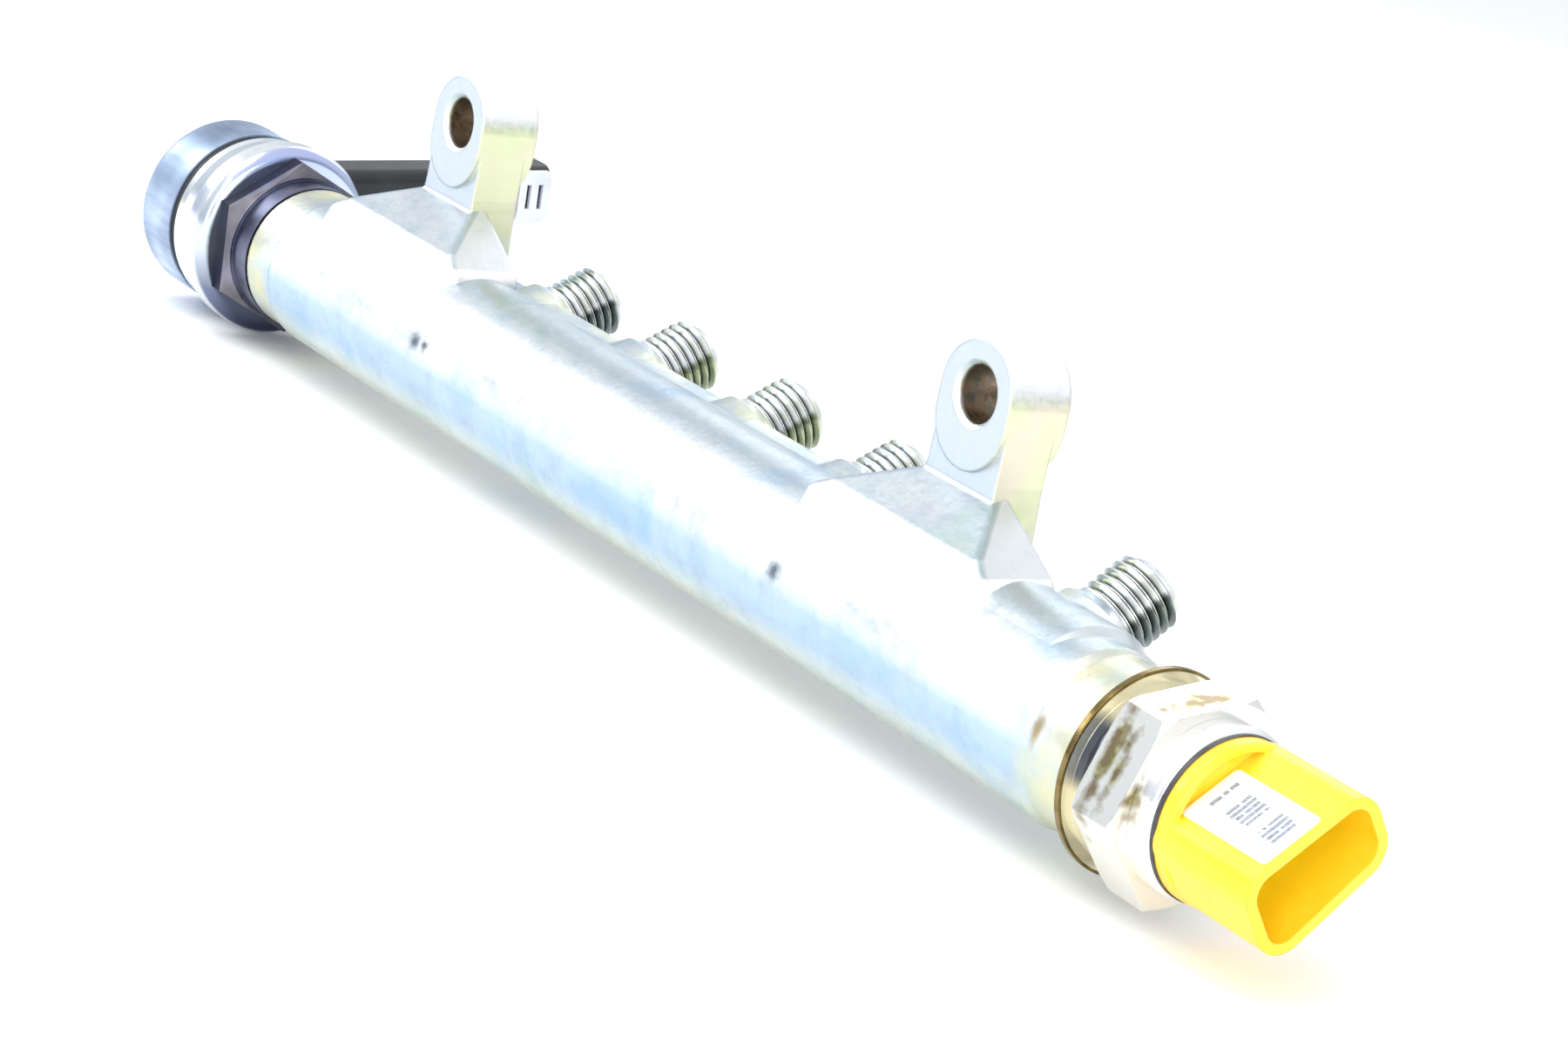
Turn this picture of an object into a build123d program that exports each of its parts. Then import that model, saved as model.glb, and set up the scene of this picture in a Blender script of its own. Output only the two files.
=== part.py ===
from build123d import *
import math
import os

# Common rail for four injectors: a forged steel accumulator tube on two bolt ears.
# A pressure regulating valve closes the left end, a rail pressure sensor the right end.
# Millimetres. The model is drawn about the tube's axis, with X along the tube, Y along the
# bolts and Z up through the ears. At the end it moves so that the origin is midway between
# the two bolt holes, on the ears' seat face.

# Forged tube
tube_diameter = 26.4
turned_end_diameter = 25.2
turned_step_length = 1.2
valve_end_x = -107.5
sensor_end_x = 126.8
valve_turned_length = 8.0
sensor_turned_length = 9.3
end_chamfer = 0.8
bore_diameter = 10.0
bore_end_x = 106.0
sensor_drilling_diameter = 4.0

# Bolt ears
ear_spacing = 146.0
ear_height = 34.3
ear_head_radius = 7.8
ear_head_drop = 3.2
ear_front_y = 2.8
ear_thickness = 11.0
bolt_hole_diameter = 8.5
bolt_hole_chamfer = 0.7
neck_front_recess = 0.8
neck_back_recess = 1.6
neck_foot_half_width = 9.2
neck_foot_z = 6.0
neck_flare_drop = 11.3

# Sloping shoulder that spreads each ear onto the tube
shoulder_top_drop = 11.6
shoulder_corner_y = -5.4
shoulder_corner_drop = 18.7
shoulder_foot_y = -11.6
shoulder_foot_z = 5.6
shoulder_back_y = 6.5
shoulder_top_half_width = 5.4
shoulder_flank_half_width = 22.0
shoulder_flank_drop = 20.9
shoulder_base_half_width = 18.0
shoulder_round = 2.4
neck_root_round = 1.0

# Screwed nipples: four for the injectors and one apart for the pump
nipple_count = 4
nipple_first_x = -47.5
nipple_pitch = 29.7
nipple_clock = 30.0
pump_nipple_x = 100.0
pump_nipple_clock = 40.0
thread_core_diameter = 10.16
thread_start = 15.8
nipple_tip = 25.4
nipple_tip_chamfer = 0.9
collar_top_diameter = 12.3
boss_top = 14.4
boss_top_diameter = 15.0
boss_foot = 5.0
boss_foot_diameter = 18.4
cone_mouth_diameter = 7.6
cone_angle = 60.0
drilling_diameter = 3.0

# Forged rib that joins the injector nipples, and the saddle under the pump nipple
rib_top = 14.6
rib_top_half_width = 5.6
rib_foot = 6.0
rib_foot_half_width = 9.4
rib_start_x = -66.0
rib_end_x = 66.0
rib_round = 1.8
saddle_diameter = 26.0
saddle_offset = 1.9
saddle_half_length = 10.5
saddle_taper = 4.0

# Regulating valve
valve_thread_diameter = 18.0
valve_thread_length = 12.0
valve_thread_depth = 13.0
valve_pilot_diameter = 14.0
valve_pilot_bore_diameter = 14.2
valve_pilot_length = 5.0
valve_socket_depth = 18.0
valve_neck_diameter = 25.4
valve_neck_length = 5.5
valve_neck_groove_diameter = 23.6
valve_neck_groove_width = 0.7
valve_hex_flats = 27.0
valve_hex_length = 4.8
valve_hex_clock = 34.0
valve_hex_chamfer = 2.4
guide_diameter = 19.0
guide_length = 8.0
guide_bore_diameter = 4.1
pot_diameter = 34.4
pot_back_diameter = 32.2
pot_bore_diameter = 28.2
pot_length = 11.5
pot_wall = 1.6
pot_round = 2.2
pot_taper_start = 5.2
pot_taper_length = 4.5
pot_seal_width = 2.2
pot_seal_wall = 1.6
cap_diameter = 32.2
cap_length = 12.3
cap_wall = 2.0
cap_round = 2.2
cap_spigot_length = 3.8
cap_spigot_wall = 1.5

# Valve needle, magnet and spring
seat_length = 4.0
seat_bore_diameter = 6.0
seat_bore_depth = 9.0
seat_orifice_diameter = 1.2
seat_cone_diameter = 4.2
ball_diameter = 3.0
pin_diameter = 4.0
armature_diameter = 22.0
armature_thickness = 3.2
armature_gap = 0.6
bobbin_wall = 0.9
bobbin_length = 6.2
winding_gap = 0.15
spring_diameter = 5.0
spring_wire = 0.9
spring_turns = 3
spring_seat_diameter = 6.4
spring_seat_depth = 1.0
spring_boss_diameter = 8.4
spring_boss_length = 2.0
o_ring_section = 1.8
o_ring_sides = 12
backup_ring_width = 1.0
groove_land = 0.9
groove_width = 3.1

# Valve connector, moulded on the side of the magnet pot
connector_x = -124.1
connector_tilt = 4.2
connector_z = 8.9
connector_root_y = 14.4
connector_end_y = 54.0
connector_arm_width = 9.6
connector_arm_height = 9.6
connector_arm_round = 2.6
socket_length = 17.0
socket_width = 10.6
socket_height = 10.6
socket_round = 3.0
socket_wall = 1.3
socket_depth = 14.0
socket_taper_length = 2.5
lock_length = 6.5
lock_wall = 0.9
lock_setback = 0.6
lock_open_height = 10.8
lock_window_length = 0.9
lock_window_height = 4.6
lock_window_gap = 1.6
lead_slot_clearance = 0.2
valve_pin_spacing = 4.0
valve_pin_size = 0.64
valve_pin_reach = 7.0
valve_pin_start = 0.8

# Pressure sensor
sensor_thread_diameter = 12.0
sensor_socket_depth = 14.0
sensor_seat_diameter = 7.0
sensor_seat_length = 2.5
sensor_seat_root_diameter = 10.0
pressure_hole_diameter = 3.0
sensor_flange_diameter = 29.6
sensor_flange_thickness = 0.9
sensor_neck_diameter = 25.6
sensor_neck_length = 2.9
sensor_hex_flats = 27.0
sensor_hex_length = 8.2
sensor_hex_clock = 10.0
sensor_hex_chamfer = 1.1
sensor_shoulder_diameter = 24.8
sensor_shoulder_length = 3.9
sensor_shoulder_round = 1.4
sensor_cavity_diameter = 20.0
sensor_cavity_depth = 5.0
shell_wall = 1.2
gasket_diameter = 23.6
gasket_thickness = 0.6
cell_diameter = 8.0
cell_height = 4.2
cell_wall = 0.5
carrier_diameter = 19.8
carrier_bore_diameter = 12.0
board_diameter = 19.0
board_thickness = 1.2
board_gap = 0.6
contact_diameter = 1.6

# Sensor plug
plug_clock = 36.4
plug_base_diameter = 23.2
plug_base_length = 2.4
plug_base_round = 0.8
plug_recess_diameter = 20.8
plug_recess_depth = 1.3
plug_length = 18.4
plug_half_length = 11.2
plug_flat_height = 7.5
plug_heel_depth = 7.0
plug_toe_depth = 4.6
plug_corner = 4.5
plug_wall = 1.6
plug_depth = 13.6
plug_spigot_diameter = 20.0
plug_spigot_wall = 1.6
plug_spigot_length = 3.3
terminal_spacing = 5.0
terminal_width = 1.6
terminal_thickness = 0.8
terminal_reach = 7.0
terminal_tail = 1.0

# Hexagons of both screwed pieces
hex_chamfer_angle = 30.0
corner_clearance = 0.01

# Clearances
thread_clearance = 0.05
seat_clearance = 0.05
press_clearance = 0.02

# Worked-out places
turned_radius = turned_end_diameter / 2
tube_radius = tube_diameter / 2
ear_back_y = ear_front_y + ear_thickness
ear_places = (-ear_spacing / 2, ear_spacing / 2)
neck_flare_z = ear_height - neck_flare_drop
shoulder_top_z = ear_height - shoulder_top_drop
shoulder_corner_z = ear_height - shoulder_corner_drop
shoulder_flank_z = ear_height - shoulder_flank_drop
nipple_places = [
    (nipple_first_x + index * nipple_pitch, nipple_clock) for index in range(nipple_count)
] + [(pump_nipple_x, pump_nipple_clock)]
valve_neck_front = valve_end_x - valve_neck_groove_width
valve_hex_front = valve_end_x - valve_neck_length
valve_hex_back = valve_hex_front - valve_hex_length
pot_back = valve_hex_back - pot_length
cap_front = pot_back - pot_seal_width
cap_back = cap_front - cap_length
guide_back = valve_hex_back - guide_length
sensor_flange_back = sensor_end_x + sensor_flange_thickness
sensor_hex_front = sensor_flange_back + sensor_neck_length
sensor_hex_back = sensor_hex_front + sensor_hex_length
shoulder_back = sensor_hex_back + sensor_shoulder_length
plug_front = shoulder_back + gasket_thickness
plug_mouth = plug_front + plug_length
seat_frame = Location((0, -ear_back_y, -ear_height))
nose_end = valve_end_x + valve_thread_length + valve_pilot_length
groove_floor = valve_pilot_bore_diameter / 2 - o_ring_section
groove_front = nose_end - groove_land
groove_back = groove_front - groove_width
seat_back = nose_end - seat_length
cone_tip = seat_back + seat_cone_diameter / 2
ball_x = cone_tip - ball_diameter / 2 * math.sqrt(2) - seat_clearance
pin_front = ball_x - ball_diameter / 2
armature_front = guide_back - armature_gap
armature_back = armature_front - armature_thickness
spring_front = armature_back + spring_seat_depth
cap_floor = cap_back + cap_wall
pot_inner = pot_bore_diameter / 2
bobbin_front = valve_hex_back - pot_wall - seat_clearance
bobbin_back = bobbin_front - bobbin_length
sensor_floor = sensor_end_x - sensor_socket_depth
sensor_tip = sensor_floor + seat_clearance
cavity_floor = sensor_hex_back - sensor_cavity_depth
cell_top = cavity_floor + cell_height
board_front = cell_top + board_gap
board_back = board_front + board_thickness
plug_floor = plug_mouth - plug_depth
terminal_back = plug_front - terminal_tail
terminal_offsets = (-terminal_spacing, 0, terminal_spacing)


def turned(*points):
    """A piece turned about the tube's axis, from its (x, radius) outline."""
    outline = Polyline(*[(x, 0, radius) for x, radius in points], close=True)
    return revolve(make_face(outline), Axis.X)


def rod(start, end, radius):
    return turned((start, 0), (end, 0), (end, radius), (start, radius))


def tube(start, end, inner, outer):
    return turned((start, inner), (end, inner), (end, outer), (start, outer))


def hexagon_bar(flats, start, end, clock, chamfer_front, chamfer_back):
    """Hexagon whose corners are turned off at each end by the chamfer given for it."""
    section = Plane.YZ.offset(start) * Rot(Z=clock) * RegularPolygon(flats / 2, 6, major_radius=False)
    bar = extrude(section, amount=end - start)
    corner = flats / math.sqrt(3) + corner_clearance
    slope = math.tan(math.radians(hex_chamfer_angle))
    envelope = rod(start, end, corner)
    for face, chamfer, way in ((start, chamfer_front, 1), (end, chamfer_back, -1)):
        if chamfer:
            low = corner - chamfer
            envelope -= turned((face, low), (face + way * chamfer * slope, corner), (face, corner))
    return bar & envelope


def rail_tube():
    return turned(
        (valve_end_x, 0),
        (sensor_end_x, 0),
        (sensor_end_x, turned_radius - end_chamfer),
        (sensor_end_x - end_chamfer, turned_radius),
        (sensor_end_x - sensor_turned_length, turned_radius),
        (sensor_end_x - sensor_turned_length - turned_step_length, tube_radius),
        (valve_end_x + valve_turned_length + turned_step_length, tube_radius),
        (valve_end_x + valve_turned_length, turned_radius),
        (valve_end_x, turned_radius),
    )


def along_nipple(x, clock):
    """The place and direction of a nipple: +Z of the drawn piece runs out along its axis."""
    return Location((x, 0, 0)) * Rot(X=clock - 90)


def nipple(x, clock):
    core = thread_core_diameter / 2
    outline = Polyline(
        (0, 0),
        (boss_foot_diameter / 2, 0),
        (boss_foot_diameter / 2, boss_foot),
        (boss_top_diameter / 2, boss_top),
        (collar_top_diameter / 2, thread_start),
        (core, thread_start),
        (core, nipple_tip - nipple_tip_chamfer),
        (core - nipple_tip_chamfer, nipple_tip),
        (0, nipple_tip),
        close=True,
    )
    turned_up = revolve(make_face(Plane.XZ * outline), Axis.Z)
    return along_nipple(x, clock) * turned_up


def nipple_drilling(x, clock):
    """Sealing cone in the tip and the drilling from it into the tube's bore."""
    half = math.radians(cone_angle / 2)
    cone_depth = (cone_mouth_diameter - drilling_diameter) / 2 / math.tan(half)
    outline = Polyline(
        (0, 0),
        (drilling_diameter / 2, 0),
        (drilling_diameter / 2, nipple_tip - cone_depth),
        (cone_mouth_diameter / 2, nipple_tip),
        (0, nipple_tip),
        close=True,
    )
    return along_nipple(x, clock) * revolve(make_face(Plane.XZ * outline), Axis.Z)


def rib():
    """Rib of the forging along the injector nipples, with its long edges rounded."""
    outline = Polyline(
        (-rib_foot_half_width, rib_foot),
        (rib_foot_half_width, rib_foot),
        (rib_top_half_width, rib_top),
        (-rib_top_half_width, rib_top),
        close=True,
    )
    section = Plane.YZ.offset(rib_start_x) * Rot(Z=nipple_clock - 90) * make_face(outline)
    bar = extrude(section, amount=rib_end_x - rib_start_x)
    outward = Vector(0, math.cos(math.radians(nipple_clock)), math.sin(math.radians(nipple_clock)))
    long_edges = bar.edges().filter_by(Axis.X).sort_by(lambda edge: edge.center().dot(outward))
    return fillet(long_edges[-2:], rib_round)


def saddle():
    """Swelling of the forging that carries the pump nipple."""
    half = saddle_half_length
    radius = saddle_diameter / 2
    swell = turned(
        (-half - saddle_taper, 0),
        (half + saddle_taper, 0),
        (half + saddle_taper, radius - saddle_taper / 2),
        (half, radius),
        (-half, radius),
        (-half - saddle_taper, radius - saddle_taper / 2),
    )
    clock = math.radians(pump_nipple_clock)
    return Location((pump_nipple_x, saddle_offset * math.cos(clock), saddle_offset * math.sin(clock))) * swell


def ear(x):
    """Bolt ear: a proud head on a thinner neck, which spreads over the tube by a shoulder."""
    low = ear_height - ear_head_drop
    head = Polyline(
        (x - ear_head_radius, low),
        (x + ear_head_radius, low),
        (x + ear_head_radius, ear_height),
        (x - ear_head_radius, ear_height),
        close=True,
    )
    disc = Location((x, ear_height)) * Circle(ear_head_radius)
    foot_disc = Location((x, low)) * Circle(ear_head_radius)
    head_face = Plane.XZ.offset(-ear_back_y) * (make_face(head) + disc + foot_disc)
    block = extrude(head_face, amount=ear_thickness)
    neck_outline = Polyline(
        (x - ear_head_radius, ear_height),
        (x - ear_head_radius, neck_flare_z),
        (x - neck_foot_half_width, neck_foot_z),
        (x - neck_foot_half_width, 0),
        (x + neck_foot_half_width, 0),
        (x + neck_foot_half_width, neck_foot_z),
        (x + ear_head_radius, neck_flare_z),
        (x + ear_head_radius, ear_height),
        close=True,
    )
    neck_back = ear_back_y - neck_back_recess
    neck_depth = ear_thickness - neck_back_recess - neck_front_recess
    neck = extrude(Plane.XZ.offset(-neck_back) * make_face(neck_outline), amount=neck_depth)
    whole = block + neck + ear_shoulder(x)
    neck_front = ear_front_y + neck_front_recess
    root = whole.edges().filter_by(
        lambda edge: abs(edge.center().X - x) < corner_clearance
        and abs(edge.center().Y - neck_front) < corner_clearance
        and edge.center().Z < ear_height - ear_head_drop - ear_head_radius
    )
    return fillet(root, neck_root_round)


def ear_shoulder(x):
    """Wedge under the neck, cut from its side view and its front view, with softened ridges."""
    side = Polyline(
        (0, 0),
        (shoulder_foot_y, 0),
        (shoulder_foot_y, shoulder_foot_z),
        (shoulder_corner_y, shoulder_corner_z),
        (shoulder_back_y, shoulder_top_z),
        (shoulder_back_y, 0),
        close=True,
    )
    front = Polyline(
        (x - shoulder_base_half_width, 0),
        (x + shoulder_base_half_width, 0),
        (x + shoulder_flank_half_width, shoulder_flank_z),
        (x + shoulder_top_half_width, shoulder_top_z),
        (x - shoulder_top_half_width, shoulder_top_z),
        (x - shoulder_flank_half_width, shoulder_flank_z),
        close=True,
    )
    side_bar = extrude(Plane.YZ.offset(x) * make_face(side), amount=shoulder_flank_half_width, both=True)
    wedge = side_bar & extrude(Plane.XZ * make_face(front), amount=tube_diameter, both=True)
    ridges = wedge.edges().filter_by(
        lambda edge: edge.center().Z > shoulder_foot_z + shoulder_round
        and edge.center().Z < shoulder_top_z - corner_clearance
        and edge.center().Y < shoulder_back_y - corner_clearance
    )
    return fillet(ridges, shoulder_round)


def bolt_hole(x):
    """Clearance hole for the bolt, chamfered where the bolt's head sits."""
    hole = bolt_hole_diameter / 2
    wide = hole + bolt_hole_chamfer
    outline = Polyline(
        (0, ear_front_y),
        (wide, ear_front_y),
        (hole, ear_front_y + bolt_hole_chamfer),
        (hole, ear_back_y),
        (0, ear_back_y),
        close=True,
    )
    return Location((x, 0, ear_height)) * revolve(make_face(outline), Axis.Y)


def rail_body():
    body = rail_tube() + rib() + saddle()
    for x in ear_places:
        body += ear(x)
    for x, clock in nipple_places:
        body += nipple(x, clock)
    body -= rod(valve_end_x, bore_end_x, bore_diameter / 2)
    body -= rod(bore_end_x, sensor_floor, sensor_drilling_diameter / 2)
    body -= rod(valve_end_x, valve_end_x + valve_thread_depth, valve_thread_diameter / 2)
    body -= rod(valve_end_x, valve_end_x + valve_socket_depth, valve_pilot_bore_diameter / 2)
    body -= rod(sensor_floor, sensor_end_x, sensor_thread_diameter / 2)
    for x in ear_places:
        body -= bolt_hole(x)
    for x, clock in nipple_places:
        body -= nipple_drilling(x, clock)
    return body


def valve_body():
    """Steel body of the valve: screwed nose, neck, hexagon and the guide for the pin."""
    thread = valve_thread_diameter / 2 - thread_clearance
    pilot = valve_pilot_diameter / 2
    body = turned(
        (guide_back, 0),
        (nose_end, 0),
        (nose_end, pilot),
        (groove_front, pilot),
        (groove_front, groove_floor),
        (groove_back, groove_floor),
        (groove_back, pilot),
        (nose_end - valve_pilot_length, pilot),
        (nose_end - valve_pilot_length, thread),
        (valve_end_x, thread),
        (valve_end_x, valve_neck_groove_diameter / 2),
        (valve_neck_front, valve_neck_groove_diameter / 2),
        (valve_neck_front, valve_neck_diameter / 2),
        (valve_hex_front, valve_neck_diameter / 2),
        (valve_hex_front, guide_diameter / 2),
        (guide_back, guide_diameter / 2),
    )
    body += hexagon_bar(valve_hex_flats, valve_hex_back, valve_hex_front, valve_hex_clock, 0, valve_hex_chamfer)
    body -= rod(guide_back, nose_end, guide_bore_diameter / 2)
    body -= rod(nose_end - seat_bore_depth, nose_end, seat_bore_diameter / 2)
    return body


def valve_seat():
    """Pressed-in seat with its orifice and the cone that the ball closes."""
    orifice = seat_orifice_diameter / 2
    cone = seat_cone_diameter / 2
    outside = seat_bore_diameter / 2 - press_clearance
    return turned(
        (seat_back, cone),
        (seat_back + cone - orifice, orifice),
        (nose_end, orifice),
        (nose_end, outside),
        (seat_back, outside),
    )


def valve_ball():
    return Location((ball_x, 0, 0)) * Sphere(ball_diameter / 2)


def armature_pin():
    return rod(spring_front, pin_front, pin_diameter / 2)


def armature():
    disc = rod(armature_back, armature_front, armature_diameter / 2)
    disc -= rod(armature_back, armature_front, pin_diameter / 2 + press_clearance)
    return disc - rod(armature_back, spring_front, spring_seat_diameter / 2)


def valve_spring():
    """Square-wire coil spring that holds the armature and the ball towards the seat."""
    wire = spring_wire / 2
    start = cap_floor + wire + seat_clearance
    height = spring_front - wire - seat_clearance - start
    path = Helix(height / spring_turns, height, spring_diameter / 2, center=(0, 0, 0), direction=(0, 0, 1))
    section = Plane(path @ 0, z_dir=path % 0) * Rectangle(spring_wire, spring_wire)
    coil = sweep(section, path=path, is_frenet=True)
    return Location((start, 0, 0)) * Rot(Y=90) * coil


def o_ring():
    """Rubber ring in the nose's groove, its round section drawn with twelve sides."""
    radius = valve_pilot_bore_diameter / 2 - o_ring_section / 2
    place = groove_front - o_ring_section / 2 - seat_clearance
    section = RegularPolygon(o_ring_section / 2 - press_clearance, o_ring_sides)
    return revolve(Plane.XZ * Location((place, radius)) * section, Axis.X)


def backup_ring():
    start = groove_back + seat_clearance
    outside = valve_pilot_bore_diameter / 2 - press_clearance
    return tube(start, start + backup_ring_width, groove_floor + press_clearance, outside)


def coil_bobbin():
    inside = guide_diameter / 2 + seat_clearance
    outside = pot_inner - seat_clearance
    return turned(
        (bobbin_back, inside),
        (bobbin_front, inside),
        (bobbin_front, outside),
        (bobbin_front - bobbin_wall, outside),
        (bobbin_front - bobbin_wall, inside + bobbin_wall),
        (bobbin_back + bobbin_wall, inside + bobbin_wall),
        (bobbin_back + bobbin_wall, outside),
        (bobbin_back, outside),
    )


def coil_winding():
    inside = guide_diameter / 2 + seat_clearance + bobbin_wall + press_clearance
    outside = pot_inner - seat_clearance - winding_gap
    start = bobbin_back + bobbin_wall + press_clearance
    return tube(start, bobbin_front - bobbin_wall - press_clearance, inside, outside)


def along_connector():
    """The connector's axis: +Z of the drawn piece runs out to the mouth, +Y points down."""
    return Location((connector_x, connector_root_y, connector_z)) * Rot(X=connector_tilt - 90)


def rounded_bar(width, height, corner, start, end):
    section = Plane.XY.offset(start) * RectangleRounded(width, height, corner)
    return extrude(section, amount=end - start)


def magnet_pot():
    """Bright steel pot around the coil, waisted towards the seal and slotted for the connector."""
    full = pot_diameter / 2
    cup = turned(
        (valve_hex_back, guide_diameter / 2 + press_clearance),
        (valve_hex_back, full),
        (valve_hex_back - pot_taper_start, full),
        (valve_hex_back - pot_taper_start - pot_taper_length, pot_back_diameter / 2),
        (pot_back, pot_back_diameter / 2),
        (pot_back, pot_inner),
        (valve_hex_back - pot_wall, pot_inner),
        (valve_hex_back - pot_wall, guide_diameter / 2 + press_clearance),
    )
    front_rim = cup.edges().filter_by(GeomType.CIRCLE).group_by(Axis.X)[-1].sort_by(SortBy.RADIUS)[-1]
    cup = fillet(front_rim, pot_round)
    slot = rounded_bar(
        connector_arm_width + 2 * lead_slot_clearance,
        connector_arm_height + 2 * lead_slot_clearance,
        connector_arm_round,
        -connector_root_y,
        connector_root_y,
    )
    return cup - along_connector() * slot


def pot_seal():
    return tube(cap_front, pot_back, pot_inner, pot_inner + pot_seal_wall)


def valve_cap():
    """Cap that closes the pot: a cup with a rounded rim, a spigot and a boss for the spring."""
    outside = cap_diameter / 2
    inside = outside - cap_wall
    spigot = pot_inner - seat_clearance
    cup = turned(
        (cap_back, 0),
        (cap_back, outside),
        (cap_front, outside),
        (cap_front, spigot),
        (cap_front + cap_spigot_length, spigot),
        (cap_front + cap_spigot_length, spigot - cap_spigot_wall),
        (cap_front - cap_wall, spigot - cap_spigot_wall),
        (cap_front - cap_wall, inside),
        (cap_floor, inside),
        (cap_floor, 0),
    )
    rim = cup.edges().filter_by(GeomType.CIRCLE).group_by(Axis.X)[0]
    cup = fillet(rim, cap_round)
    return cup + tube(cap_floor, cap_floor + spring_boss_length, spring_seat_diameter / 2, spring_boss_diameter / 2)


def valve_connector():
    """Moulded arm from the coil to a two-way socket."""
    tip = connector_end_y - connector_root_y
    socket_start = tip - socket_length
    arm = rounded_bar(
        connector_arm_width, connector_arm_height, connector_arm_round, -connector_root_y, socket_start
    )
    low = Plane.XY.offset(socket_start - socket_taper_length) * RectangleRounded(
        connector_arm_width, connector_arm_height, connector_arm_round
    )
    high = Plane.XY.offset(socket_start) * RectangleRounded(socket_width, socket_height, socket_round)
    body = arm + loft([low, high]) + rounded_bar(socket_width, socket_height, socket_round, socket_start, tip)
    body -= rounded_bar(
        socket_width - 2 * socket_wall,
        socket_height - 2 * socket_wall,
        socket_round - socket_wall,
        tip - socket_depth,
        tip,
    )
    channel_width = valve_pin_size + 2 * press_clearance
    channel = extrude(
        Plane.XY.offset(-connector_root_y) * Rectangle(channel_width, channel_width),
        amount=connector_root_y + tip - socket_depth,
    )
    for side in (-1, 1):
        body -= Location((side * valve_pin_spacing / 2, 0, 0)) * channel
    body = along_connector() * body
    return body - rod(pot_back, valve_hex_back, pot_inner)


def connector_lock():
    """Pale clip around three sides of the mouth, with two windows in each cheek."""
    end = connector_end_y - connector_root_y - lock_setback
    start = end - lock_length
    outer_width = socket_width + 2 * lock_wall
    outer_height = socket_height + 2 * lock_wall
    clip = rounded_bar(outer_width, outer_height, socket_round + lock_wall, start, end)
    clip -= rounded_bar(
        socket_width + 2 * press_clearance,
        socket_height + 2 * press_clearance,
        socket_round + press_clearance,
        start,
        end,
    )
    open_top = Location((0, -outer_height / 2, start)) * Box(
        outer_width,
        2 * (outer_height - lock_open_height),
        lock_length,
        align=(Align.CENTER, Align.CENTER, Align.MIN),
    )
    clip -= open_top
    for side in (-1, 1):
        place = (start + end) / 2 + side * (lock_window_gap + lock_window_length) / 2
        clip -= Location((0, 0, place)) * Box(outer_width, lock_window_height, lock_window_length)
    return along_connector() * clip


def valve_pin(side):
    """Blade that runs through the arm from the coil into the socket."""
    end = connector_end_y - connector_root_y - socket_depth + valve_pin_reach
    section = Plane.XY.offset(valve_pin_start) * Rectangle(valve_pin_size, valve_pin_size)
    blade = extrude(section, amount=end - valve_pin_start)
    return along_connector() * Location((side * valve_pin_spacing / 2, 0, 0)) * blade


def sensor_port():
    """Steel port: screwed stub with a sealing cone, flange, neck and hexagon, drilled to the cell."""
    thread = sensor_thread_diameter / 2 - thread_clearance
    port = turned(
        (sensor_tip, 0),
        (sensor_hex_front, 0),
        (sensor_hex_front, sensor_neck_diameter / 2),
        (sensor_flange_back, sensor_neck_diameter / 2),
        (sensor_flange_back, sensor_flange_diameter / 2),
        (sensor_end_x, sensor_flange_diameter / 2),
        (sensor_end_x, thread),
        (sensor_tip + sensor_seat_length, thread),
        (sensor_tip + sensor_seat_length, sensor_seat_root_diameter / 2),
        (sensor_tip, sensor_seat_diameter / 2),
    )
    port += hexagon_bar(
        sensor_hex_flats, sensor_hex_front, sensor_hex_back, sensor_hex_clock, sensor_hex_chamfer, sensor_hex_chamfer
    )
    port -= rod(sensor_tip, sensor_hex_back, pressure_hole_diameter / 2)
    return port - rod(cavity_floor, sensor_hex_back, sensor_cavity_diameter / 2)


def pressure_cell():
    """Welded cup whose thin end is the measuring membrane."""
    inner = pressure_hole_diameter / 2
    return turned(
        (cavity_floor, inner),
        (cell_top - cell_wall, inner),
        (cell_top - cell_wall, 0),
        (cell_top, 0),
        (cell_top, cell_diameter / 2),
        (cavity_floor, cell_diameter / 2),
    )


def board_carrier():
    return tube(cavity_floor, board_front, carrier_bore_diameter / 2, carrier_diameter / 2)


def sensor_board():
    return rod(board_front, board_back, board_diameter / 2)


def across_plug(offset):
    """A place on the plug's long axis, with +Y along that axis."""
    return Rot(X=plug_clock) * Location((0, offset, 0))


def board_contact(offset):
    start = board_back + seat_clearance
    return across_plug(offset) * rod(start, terminal_back - seat_clearance, contact_diameter / 2)


def sensor_shell():
    """Bright sleeve behind the hexagon, rolled in over the rubber ring's seat."""
    outside = sensor_shoulder_diameter / 2
    lip = plug_spigot_diameter / 2 + seat_clearance
    sleeve = turned(
        (sensor_hex_back, outside - shell_wall),
        (sensor_hex_back, outside),
        (shoulder_back, outside),
        (shoulder_back, lip),
        (shoulder_back - shell_wall, lip),
        (shoulder_back - shell_wall, outside - shell_wall),
    )
    rim = sleeve.edges().filter_by(GeomType.CIRCLE).group_by(Axis.X)[-1].sort_by(SortBy.RADIUS)[-1]
    return fillet(rim, sensor_shoulder_round)


def sensor_gasket():
    return tube(shoulder_back, plug_front, plug_spigot_diameter / 2 + seat_clearance, gasket_diameter / 2)


def plug_bar(start, inset):
    """The shroud's section, flat on the label side and tapered below, from start to the mouth."""
    outline = Polyline(
        (-plug_half_length, plug_flat_height),
        (plug_half_length, plug_flat_height),
        (plug_half_length, -plug_toe_depth),
        (-plug_half_length, -plug_heel_depth),
        close=True,
    )
    section = make_face(outline)
    section = fillet(section.vertices(), plug_corner)
    if inset:
        section = offset(section, amount=-inset)
    return extrude(Plane.YZ.offset(start) * Rot(Z=plug_clock) * section, amount=plug_mouth - start)


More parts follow.
